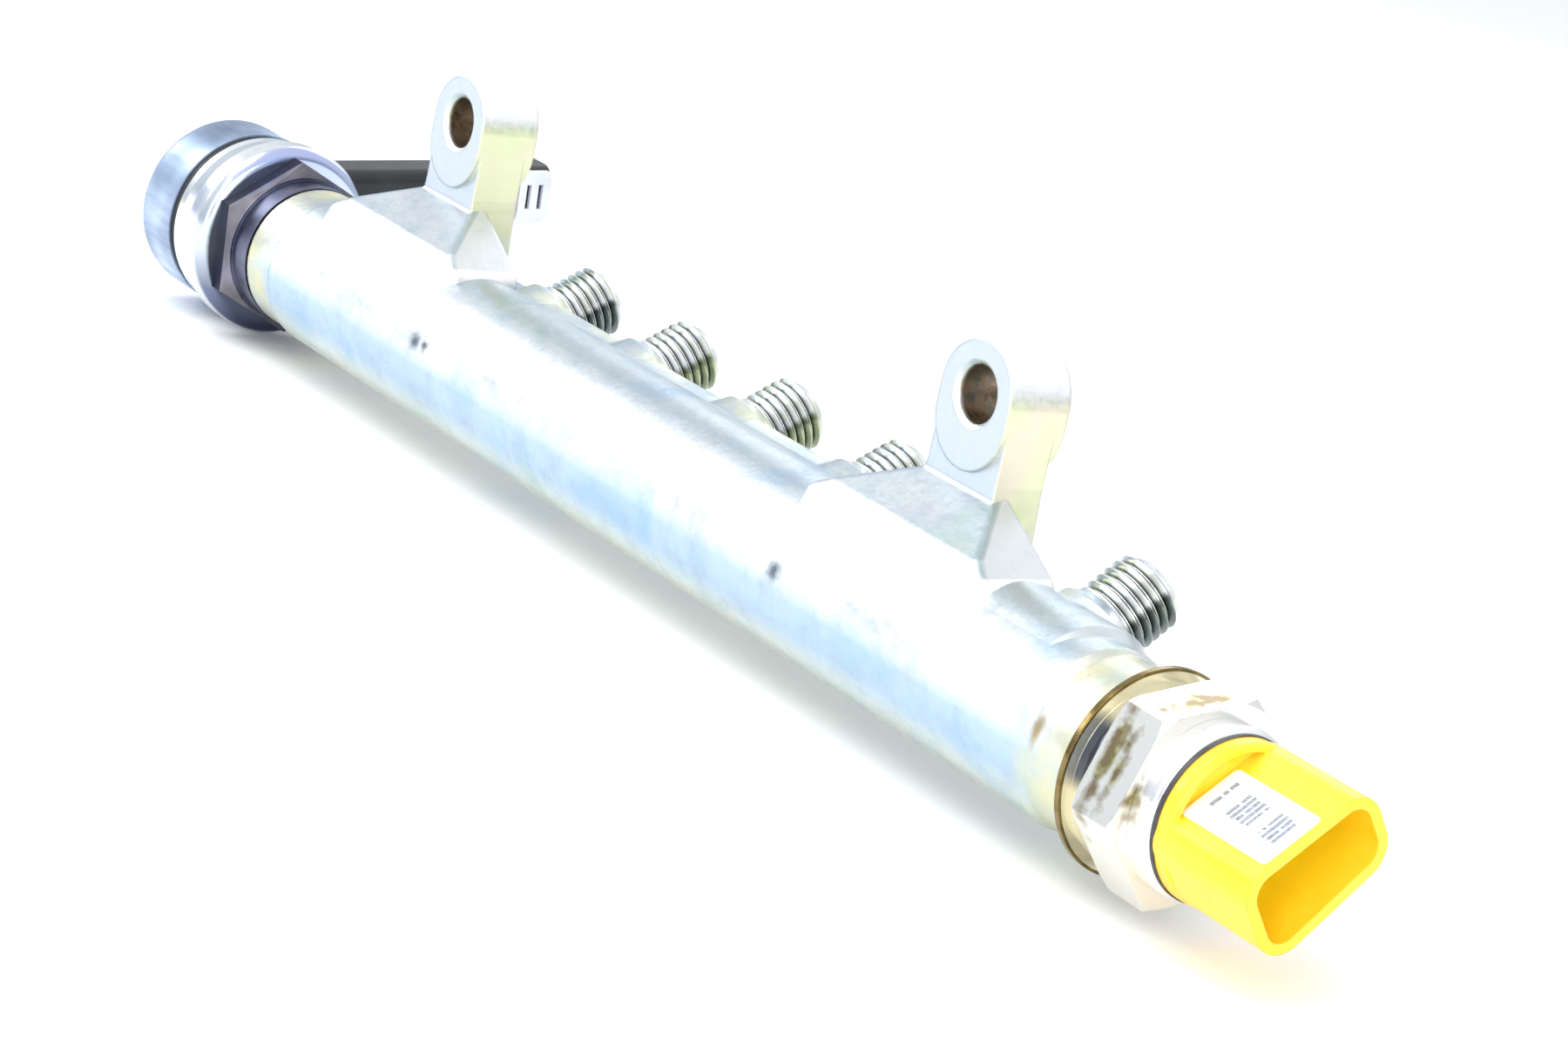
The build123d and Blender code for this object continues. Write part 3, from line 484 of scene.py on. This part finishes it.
def slate_anodised_cap():
    """Anodised cap: satin slate blue with a lilac cast, clouded 14 mm across and drawn out in
    faint streaks along its length."""
    material, tree, shader, place = finish("slate_anodised_cap", {"Metallic": 0.8})
    drawn = add(tree, "ShaderNodeMapping", {"Vector": place, "Scale": (0.12, 1.0, 1.0)})
    streak = add(tree, "ShaderNodeTexNoise", {"Vector": drawn, "Scale": per(1.4), "Detail": 4})
    streaked = add(tree, "ShaderNodeMapRange",
        {"Value": streak, "From Min": 0.45, "From Max": 0.72, "To Max": 0.22})
    cloud = add(tree, "ShaderNodeTexNoise", {"Vector": place, "Scale": per(14), "Detail": 2})
    coat = add(tree, "ShaderNodeValToRGB", {"Fac": cloud},
        [(0.32, "#73839c"), (0.5, "#9aadc8"), (0.68, "#c0d2ec")])
    colour = laid_over(tree, coat, [([streaked], linear("#475062"))])
    dress(tree, shader, colour, (streak, 0.32, 0.46), soft_relief(tree, streak, 0.008, 0.4))
    return material


def nitrile_rubber(name, dark, light):
    """Moulded nitrile rubber: black or grey under a trace of dust."""
    material, tree, shader, place = finish(name, {"IOR": 1.52})
    dust = add(tree, "ShaderNodeTexNoise", {"Vector": place, "Scale": per(2.5), "Detail": 3})
    colour = add(tree, "ShaderNodeValToRGB", {"Fac": dust}, [(0.4, dark), (0.7, light)])
    grit = add(tree, "ShaderNodeTexNoise", {"Vector": place, "Scale": per(0.3)})
    relief = add(tree, "ShaderNodeBump", {"Height": grit, "Distance": 0.01 * MM})
    dress(tree, shader, colour, (dust, 0.42, 0.6), relief)
    return material


def moulded_plastic(name, dark, light, roughness):
    """Injection-moulded plastic: an even colour with faint flow clouds, a spark-eroded grain of
    0.35 mm, drawn coarser than the real one to show, and soft edges."""
    material, tree, shader, place = finish(name, {"IOR": 1.55})
    flow = add(tree, "ShaderNodeTexNoise", {"Vector": place, "Scale": per(8), "Detail": 2})
    grain = add(tree, "ShaderNodeTexNoise", {"Vector": place, "Scale": per(0.35), "Detail": 2})
    colour = add(tree, "ShaderNodeValToRGB", {"Fac": flow}, [(0.35, dark), (0.65, light)])
    uneven = (grain, roughness - 0.05, roughness + 0.07)
    dress(tree, shader, colour, uneven, soft_relief(tree, grain, 0.006, 0.3))
    return material


def yellow_polyester():
    """Glass-filled polyester, moulded in signal yellow: glossy outside, and a brighter, paler yellow
    painted inside the mouth, fuller further in, as painted light where the mouth lies in shade."""
    material, tree, shader, place = finish("moulded_yellow_polyester", {"IOR": 1.57, "Coat Weight": 0.2})
    turned = add(tree, "ShaderNodeMapping", {"Vector": place, "Location": (0, RAIL_Y, RAIL_Z),
        "Rotation": (math.radians(PLUG_CLOCK), 0, 0)}, vector_type="TEXTURE")
    turned = add(tree, "ShaderNodeSeparateXYZ", {"Vector": turned})
    sideways = add(tree, "ShaderNodeMath", {0: turned.outputs["Y"]}, operation="ABSOLUTE")
    within = add(tree, "ShaderNodeMath", {0: sideways, 1: MOUTH_HALF_WIDTH}, operation="LESS_THAN")
    under = add(tree, "ShaderNodeMath", {0: turned.outputs["Z"], 1: MOUTH_CEILING}, operation="LESS_THAN")
    level = add(tree, "ShaderNodeMath",
        {0: turned.outputs["Y"], 1: MOUTH_FLOOR_SLOPE, 2: turned.outputs["Z"]}, operation="MULTIPLY_ADD")
    over = add(tree, "ShaderNodeMath", {0: level, 1: MOUTH_FLOOR}, operation="GREATER_THAN")
    depth = add(tree, "ShaderNodeMapRange",
        {"Value": turned.outputs["X"], "From Min": MOUTH_EDGE, "From Max": MOUTH_DEEP})
    flow = add(tree, "ShaderNodeTexNoise", {"Vector": place, "Scale": per(8), "Detail": 2})
    outer = add(tree, "ShaderNodeValToRGB", {"Fac": flow}, [(0.35, "#ffca1a"), (0.65, "#ffd636")])
    # Painted light: the inside of the mouth is painted a brighter yellow, more so deeper in
    colour = laid_over(tree, outer, [([within, under, over, depth], linear("#ffe81c"))])
    grain = add(tree, "ShaderNodeTexNoise", {"Vector": place, "Scale": per(0.35), "Detail": 2})
    dress(tree, shader, colour, (grain, 0.3, 0.42), soft_relief(tree, grain, 0.006, 0.35))
    return material


def ground_tool_steel():
    """Hardened and ground steel of the valve's inner pieces: grey and even, with rings 0.2 mm
    apart."""
    material, tree, shader, place = finish("ground_tool_steel", {"Metallic": 1.0})
    rings = tool_rings(tree, place, 0.2, 2)
    colour = add(tree, "ShaderNodeValToRGB", {"Fac": rings}, [(0.3, "#8d9094"), (0.7, "#b4b6b9")])
    dress(tree, shader, colour, (rings, 0.22, 0.32))
    return material


def enamelled_copper():
    """Wound and enamelled copper wire 0.3 mm thick: rings of brown and orange, drawn 1.9 mm
    apart to show. A wave texture has 20 radians to its unit."""
    material, tree, shader, place = finish("enamelled_copper_wire", {"Metallic": 0.8, "Roughness": 0.3})
    wires = add(tree, "ShaderNodeTexWave", {"Vector": place, "Scale": per(0.3) / 20}, bands_direction="X")
    wires = wires.outputs["Fac"]
    colour = add(tree, "ShaderNodeValToRGB", {"Fac": wires}, [(0.0, "#6a2f18"), (1.0, "#c9713e")])
    relief = add(tree, "ShaderNodeBump", {"Height": wires, "Distance": 0.05 * MM})
    dress(tree, shader, colour, normal=relief)
    return material


def gold_flashed_contact():
    """Stamped and gold flashed bronze blades: pale yellow metal, paler where it is worn."""
    material, tree, shader, place = finish("gold_flashed_bronze", {"Metallic": 1.0})
    wear = add(tree, "ShaderNodeTexNoise", {"Vector": place, "Scale": per(1.2), "Detail": 2})
    colour = add(tree, "ShaderNodeValToRGB", {"Fac": wear}, [(0.35, "#c9a55a"), (0.65, "#dcc58c")])
    dress(tree, shader, colour, (wear, 0.2, 0.34))
    return material


def glass_epoxy_board():
    """Green lacquer over a woven glass board, whose 0.6 mm squares just show."""
    material, tree, shader, place = finish("lacquered_glass_epoxy", {"IOR": 1.5, "Roughness": 0.28})
    weave = add(tree, "ShaderNodeTexChecker", {"Vector": place, "Scale": per(0.6)})
    colour = add(tree, "ShaderNodeValToRGB", {"Fac": weave.outputs["Fac"]},
        [(0.0, "#14532b"), (1.0, "#1b6335")])
    dress(tree, shader, colour)
    return material


def label_paper():
    """Coated white paper: bright and matt, with a faint fibre."""
    material, tree, shader, place = finish("coated_label_paper", {"IOR": 1.45, "Roughness": 0.55})
    fibre = add(tree, "ShaderNodeTexNoise", {"Vector": place, "Scale": per(0.5), "Detail": 4})
    colour = add(tree, "ShaderNodeValToRGB", {"Fac": fibre}, [(0.3, "#f6f6f8"), (0.7, "#ffffff")])
    relief = add(tree, "ShaderNodeBump", {"Height": fibre, "Distance": 0.004 * MM})
    dress(tree, shader, colour, normal=relief)
    return material


def thermal_print():
    """Thermal print on the label: grey-blue that breaks up along its edges."""
    material, tree, shader, place = finish("thermal_print", {"Roughness": 0.6})
    fade = add(tree, "ShaderNodeTexNoise", {"Vector": place, "Scale": per(0.45), "Detail": 3})
    colour = add(tree, "ShaderNodeValToRGB", {"Fac": fade},
        [(0.35, "#7c8492"), (0.6, "#9ea5b1"), (0.75, "#c0c6d0")])
    dress(tree, shader, colour)
    return material


def floor_paper():
    """Matt white background paper with a slow, barely seen change of tone."""
    material, tree, shader, place = finish("matt_background_paper", {"Roughness": 0.85})
    tone = add(tree, "ShaderNodeTexNoise", {"Vector": place, "Scale": per(900), "Detail": 2})
    colour = add(tree, "ShaderNodeValToRGB", {"Fac": tone}, [(0.3, "#f7f8f9"), (0.7, "#fbfbfb")])
    dress(tree, shader, colour)
    return material


forging = zinc_plated_forging()
thread_steel = cut_thread_steel()
rubber = nitrile_rubber("black_nitrile_rubber", "#0d0e10", "#1c1d20")
tool_steel = ground_tool_steel()
contact = gold_flashed_contact()
natural_nylon = moulded_plastic("moulded_natural_nylon", "#b3a67f", "#c3b793", 0.45)
pale_nylon = moulded_plastic("moulded_pale_nylon", "#d5dae8", "#e9edf6", 0.4)
finishes = {
    "rail_body": forging,
    "valve_body": black_passivated_steel(),
    "magnet_pot": bright_pot_steel(),
    "sensor_port": nickel_plated_steel("nickel_plated_port", "#f1f0ea", "#857443", 0.95),
    "sensor_shell": nickel_plated_steel("nickel_plated_sleeve", "#f6f6f6", "#d8d3c4", 0.5),
    "valve_cap": slate_anodised_cap(),
    "valve_connector": moulded_plastic("moulded_black_nylon", "#0f1416", "#1b2124", 0.4),
    "connector_lock": pale_nylon,
    "sensor_gasket": nitrile_rubber("greyed_nitrile_rubber", "#34363a", "#55585d"),
    "sensor_plug": yellow_polyester(),
    "coil_bobbin": natural_nylon,
    "board_carrier": natural_nylon,
    "coil_winding": enamelled_copper(),
    "sensor_board": glass_epoxy_board(),
    "valve_backup_ring": pale_nylon,
}
for name in ("valve_o_ring", "pot_seal"):
    finishes[name] = rubber
for name in ("valve_seat", "valve_ball", "armature_pin", "armature", "valve_spring", "pressure_cell"):
    finishes[name] = tool_steel
for name in ("valve_pins", "board_contacts", "plug_terminals"):
    finishes[name] = contact
for name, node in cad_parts.items():
    node.data.materials.clear()
    node.data.materials.append(finishes[name])


def thread_tree():
    """Geometry nodes: a ridge wound round a core, chamfered at its end. It keeps how near each
    point is to the crest and to the underside, where the finish paints highlight and shade."""
    tree = bpy.data.node_groups.new("wound_thread", "GeometryNodeTree")
    sockets = tree.interface
    for name in ("Core radius", "Crest radius", "Pitch", "Length", "Crest width", "Root width"):
        sockets.new_socket(name=name, in_out="INPUT", socket_type="NodeSocketFloat")
    sockets.new_socket(name="Finish", in_out="INPUT", socket_type="NodeSocketMaterial")
    sockets.new_socket(name="Geometry", in_out="OUTPUT", socket_type="NodeSocketGeometry")
    given = add(tree, "NodeGroupInput").outputs
    turns = add(tree, "ShaderNodeMath", {0: given["Length"], 1: given["Pitch"]}, operation="DIVIDE")
    helix = add(tree, "GeometryNodeCurveSpiral", {"Resolution": THREAD_STEPS_PER_TURN,
        "Rotations": turns, "Start Radius": given["Core radius"], "End Radius": given["Core radius"],
        "Height": given["Length"]})
    upright = add(tree, "GeometryNodeSetCurveNormal", {"Curve": helix}, mode="Z_UP")

    # Height of the ridge, which rises from nothing where it begins
    way = add(tree, "GeometryNodeSplineParameter").outputs["Factor"]
    begun = add(tree, "ShaderNodeMath", {0: way, 1: turns}, operation="MULTIPLY")
    begun = add(tree, "ShaderNodeMath", {0: begun, 1: 1 / THREAD_RISE_TURNS}, operation="MULTIPLY")
    fade = add(tree, "ShaderNodeMath", {0: begun, 1: 1.0}, operation="MINIMUM")
    shaped = add(tree, "GeometryNodeSetCurveRadius", {"Curve": upright, "Radius": fade})

    # Section of the ridge: two corners at the root, two at the crest
    height = add(tree, "ShaderNodeMath", {0: given["Core radius"], 1: given["Crest radius"]},
        operation="SUBTRACT")
    section = add(tree, "GeometryNodeCurvePrimitiveQuadrilateral", mode="POINTS")
    corners = [
        ("Root width", -0.5, 0),
        ("Crest width", -0.5, 1),
        ("Crest width", 0.5, 1),
        ("Root width", 0.5, 0),
    ]
    for index, (width, side, crest) in enumerate(corners):
        across = add(tree, "ShaderNodeMath", {0: given[width], 1: side}, operation="MULTIPLY")
        out = add(tree, "ShaderNodeMath", {0: height, 1: crest}, operation="MULTIPLY")
        corner = add(tree, "ShaderNodeCombineXYZ", {"X": out, "Y": across})
        tree.links.new(corner.outputs["Vector"], section.inputs[f"Point {index + 1}"])

    # The middle two of the four points are the crest
    number = add(tree, "GeometryNodeInputIndex")
    middle = (len(corners) - 1) / 2
    on_crest = add(tree, "ShaderNodeMath", {0: number, 1: middle, 2: 1.0}, operation="COMPARE")
    marked = add(tree, "GeometryNodeStoreNamedAttribute",
        {"Geometry": section, "Name": "crest", "Value": on_crest}, data_type="FLOAT", domain="POINT")
    ridge = add(tree, "GeometryNodeCurveToMesh",
        {"Curve": shaped, "Profile Curve": marked, "Fill Caps": True})

    # End chamfer: no point stands out further than a cone that meets the core at the thread's end
    place = add(tree, "GeometryNodeInputPosition")
    outward = add(tree, "ShaderNodeVectorMath", {0: place, 1: (1, 1, 0)}, operation="MULTIPLY")
    radius = add(tree, "ShaderNodeVectorMath", {0: outward}, operation="LENGTH").outputs["Value"]
    along = add(tree, "ShaderNodeSeparateXYZ", {"Vector": place}).outputs["Z"]
    cone = add(tree, "ShaderNodeMath", {0: given["Length"], 1: along}, operation="SUBTRACT")
    cone = add(tree, "ShaderNodeMath", {0: cone, 1: given["Core radius"]}, operation="ADD")
    kept = add(tree, "ShaderNodeMath", {0: radius, 1: cone}, operation="MINIMUM")
    cut = add(tree, "ShaderNodeMath", {0: kept, 1: radius}, operation="SUBTRACT")
    around = add(tree, "ShaderNodeVectorMath", {0: outward}, operation="NORMALIZE")
    pulled = add(tree, "ShaderNodeVectorMath", {0: around, "Scale": cut}, operation="SCALE")
    ridge = add(tree, "GeometryNodeSetPosition", {"Geometry": ridge, "Offset": pulled})

    # How far each point lies on the underside, which the finish darkens as painted shade
    below = add(tree, "ShaderNodeVectorMath", {0: around, 1: UNDERSIDE}, operation="DOT_PRODUCT")
    ridge = add(tree, "GeometryNodeStoreNamedAttribute",
        {"Geometry": ridge, "Name": "painted_shade_side", "Value": below}, data_type="FLOAT", domain="POINT")
    real = add(tree, "GeometryNodeRealizeInstances", {"Geometry": ridge})
    done = add(tree, "GeometryNodeSetMaterial", {"Geometry": real, "Material": given["Finish"]})
    add(tree, "NodeGroupOutput", {"Geometry": done})
    return tree


def made_by(tree, values, name):
    """The mesh that a tree makes with these inputs, as a plain mesh."""
    holder = bpy.data.objects.new(name, bpy.data.meshes.new(name + "_empty"))
    bpy.context.scene.collection.objects.link(holder)
    modifier = holder.modifiers.new("made", "NODES")
    modifier.node_group = tree
    for item in tree.interface.items_tree:
        if item.in_out == "INPUT" and item.name in values:
            modifier[item.identifier] = values[item.name]
    bpy.context.view_layer.update()
    evaluated = holder.evaluated_get(bpy.context.evaluated_depsgraph_get())
    mesh = bpy.data.meshes.new_from_object(evaluated)
    mesh.name = name
    bpy.data.objects.remove(holder)
    return mesh


def settle(mesh, name, material, smooth=True):
    """Merges a mesh's doubles, recalculates its normals and makes it a piece of the part."""
    work = bmesh.new()
    work.from_mesh(mesh)
    bmesh.ops.remove_doubles(work, verts=work.verts, dist=MERGE_DISTANCE)
    bmesh.ops.recalc_face_normals(work, faces=work.faces)
    work.to_mesh(mesh)
    work.free()
    mesh.materials.clear()
    mesh.materials.append(material)
    for polygon in mesh.polygons:
        polygon.use_smooth = smooth
        polygon.material_index = 0
    if smooth:
        mesh.set_sharp_from_angle(angle=SHARP_ANGLE)
    piece = bpy.data.objects.new(name, mesh)
    bpy.context.scene.collection.objects.link(piece)
    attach(piece, "root")


def about_rail(x, clock):
    """Frame at the rail's axis: its Z points out at the clock angle, its Y runs round the rail."""
    turn = math.radians(clock)
    out = Vector((0, math.cos(turn), math.sin(turn)))
    first = Vector((1, 0, 0))
    second = out.cross(first)
    matrix = Matrix((first, second, out)).transposed().to_4x4()
    matrix.translation = Vector((x, RAIL_Y, RAIL_Z))
    return matrix


wound_thread = thread_tree()
thread_sizes = {
    "Core radius": THREAD_CORE_RADIUS - THREAD_SUNK,
    "Crest radius": THREAD_CREST_RADIUS,
    "Pitch": THREAD_PITCH,
    "Length": THREAD_LENGTH,
    "Crest width": THREAD_CREST_WIDTH,
    "Root width": THREAD_ROOT_WIDTH,
    "Finish": thread_steel,
}
for name, x, clock in NIPPLES:
    mesh = made_by(wound_thread, thread_sizes, name)
    mesh.transform(about_rail(x * MM, clock) @ Matrix.Translation((0, 0, THREAD_FOOT)))
    settle(mesh, name, thread_steel)


def rounded_plate(low, high, corner, thickness):
    """Flat plate between two corners of the XY plane, standing on it, with round corners."""
    ring = []
    ends = [(high[0], high[1], 0), (low[0], high[1], 90), (low[0], low[1], 180), (high[0], low[1], 270)]
    for x, y, start in ends:
        middle_x = x + (corner if x == low[0] else -corner)
        middle_y = y + (corner if y == low[1] else -corner)
        for step in range(CORNER_STEPS + 1):
            angle = math.radians(start + 90 * step / CORNER_STEPS)
            ring.append((middle_x + corner * math.cos(angle), middle_y + corner * math.sin(angle)))
    count = len(ring)
    points = [(x, y, height) for height in (0, thickness) for x, y in ring]
    faces = [tuple(reversed(range(count))), tuple(range(count, 2 * count))]
    for index in range(count):
        following = (index + 1) % count
        faces.append((index, following, count + following, count + index))
    mesh = bpy.data.meshes.new("plate")
    mesh.from_pydata(points, [], faces)
    return mesh


def plug_flat():
    """Frame on the plug's labelled side: X along the plug, Y along the flat, Z out of it."""
    turn = math.radians(PLUG_CLOCK)
    along_flat = Vector((0, math.cos(turn), math.sin(turn)))
    out = Vector((1, 0, 0)).cross(along_flat)
    matrix = Matrix((Vector((1, 0, 0)), along_flat, out)).transposed().to_4x4()
    matrix.translation = Vector((0, RAIL_Y, RAIL_Z)) + out * PLUG_FLAT
    return matrix


label_face = label_paper()
print_ink = thermal_print()
label = rounded_plate((LABEL_START, LABEL_LOW), (LABEL_END, LABEL_HIGH), LABEL_CORNER, LABEL_THICKNESS)
label.transform(plug_flat())
settle(label, "plug_label", label_face, smooth=False)

# Generic print: three groups of short strokes that read as lines of text from a step away. Each
# line has its place along the plug, its strokes' width, and where each stroke starts and ends.
STROKES = [
    (147.2, 0.68, [(-3.4, -1.5), (-1.1, -0.3), (0.1, 1.4)]),
    (150.3, 0.60, [(-3.4, -1.2), (-0.8, 0.8)]),
    (151.2, 0.60, [(-3.5, 0.9)]),
    (152.1, 0.60, [(-3.3, -2.1), (-1.7, 0.7)]),
    (153.0, 0.60, [(-3.4, 0.9)]),
    (153.9, 0.50, [(-3.2, -0.4), (0.0, 0.8)]),
    (156.3, 0.50, [(-3.4, -2.9), (-2.5, -2.0), (-1.6, 0.9)]),
    (157.2, 0.60, [(-3.5, 1.0)]),
    (158.1, 0.60, [(-3.4, -1.4), (-1.0, 0.9)]),
    (159.0, 0.55, [(-3.5, 0.6)]),
]
strokes = bpy.data.meshes.new("label_print")
work = bmesh.new()
for x, width, runs in STROKES:
    for low, high in runs:
        near = ((x - width / 2) * MM, low * MM)
        far = ((x + width / 2) * MM, high * MM)
        bar = rounded_plate(near, far, width * STROKE_ROUNDING * MM, MARK_THICKNESS)
        bar.transform(plug_flat() @ Matrix.Translation((0, 0, LABEL_THICKNESS)))
        work.from_mesh(bar)
work.to_mesh(strokes)
work.free()
settle(strokes, "label_print", print_ink, smooth=False)


def studio():
    """Pale floor, pale sky, and soft lights overhead, at the left, in front, at the right and
    behind."""
    half = FLOOR_SIZE / 2
    height = cad_box[0][2] - FLOOR_GAP
    corners = [(-half, -half, height), (half, -half, height), (half, half, height), (-half, half, height)]
    floor_mesh = bpy.data.meshes.new("floor")
    floor_mesh.from_pydata(corners, [], [(0, 1, 2, 3)])
    floor = bpy.data.objects.new("floor", floor_mesh)
    bpy.context.scene.collection.objects.link(floor)
    floor_mesh.materials.append(floor_paper())

    # Sky: white above, pale blue at the horizon, and a dim side behind the camera that the metal
    # mirrors
    world = bpy.data.worlds.new("studio")
    world.use_nodes = True
    tree = world.node_tree
    tree.nodes.clear()
    look = add(tree, "ShaderNodeTexCoord").outputs["Generated"]
    up = add(tree, "ShaderNodeSeparateXYZ", {"Vector": look}).outputs["Z"]
    sky = add(tree, "ShaderNodeMapRange", {"Value": up, "From Min": -0.2, "From Max": 1.0})
    sky = add(tree, "ShaderNodeValToRGB", {"Fac": sky},
        [(0.0, "#aeb6c2"), (0.25, "#ccd4de"), (0.6, "#f7f9fc"), (1.0, "#ffffff")])
    dim = add(tree, "ShaderNodeVectorMath", {0: look, 1: DIM_SIDE}, operation="DOT_PRODUCT")
    dim = add(tree, "ShaderNodeMapRange", {"Value": dim, "From Min": 0.55, "From Max": 0.85, "To Max": 0.6})
    sky = laid_over(tree, sky, [([dim], linear("#3a3f46"))])
    back = add(tree, "ShaderNodeBackground", {"Color": sky, "Strength": 1.0})
    add(tree, "ShaderNodeOutputWorld", {"Surface": back})
    bpy.context.scene.world = world
    bpy.context.scene.view_settings.view_transform = "Standard"

    # Lights: place, the point that each is turned to, width, depth and watts
    lights = [
        ("overhead", (-0.10, -0.35, 0.75), PART_MIDDLE, 0.9, 0.5, 3.4),
        ("left_strip", (-0.80, -0.48, 0.44), PART_MIDDLE, 0.7, 0.3, 2.6),
        ("front_strip", (0.55, -0.75, 0.30), PART_MIDDLE, 0.25, 0.7, 2.4),
        ("right_fill", (1.00, -0.15, 0.22), (0.16, -0.01, -0.03), 0.5, 0.35, 4.0),
        ("back_fill", (-0.50, 0.60, 0.45), PART_MIDDLE, 0.6, 0.4, 1.2),
    ]
    for name, place, target, width, depth, power in lights:
        lamp = bpy.data.lights.new(name, "AREA")
        lamp.shape = "RECTANGLE"
        lamp.size = width
        lamp.size_y = depth
        lamp.energy = power
        light = bpy.data.objects.new(name, lamp)
        light.location = place
        light.rotation_euler = (Vector(target) - Vector(place)).to_track_quat("-Z", "Y").to_euler()
        bpy.context.scene.collection.objects.link(light)


studio()

camera = bpy.data.cameras.new("camera")
camera.lens = CAMERA_LENS
camera.sensor_width = CAMERA_SENSOR
camera.sensor_fit = "HORIZONTAL"
camera.clip_start = CAMERA_CLIP
viewer = bpy.data.objects.new("camera", camera)
forward = Vector(CAMERA_FORWARD).normalized()
right = (Vector(CAMERA_RIGHT) - forward * forward.dot(Vector(CAMERA_RIGHT))).normalized()
turned_to = Matrix((right, right.cross(forward), -forward)).transposed().to_4x4()
turned_to.translation = Vector(CAMERA_PLACE)
viewer.matrix_world = turned_to
bpy.context.scene.collection.objects.link(viewer)
bpy.context.scene.camera = viewer
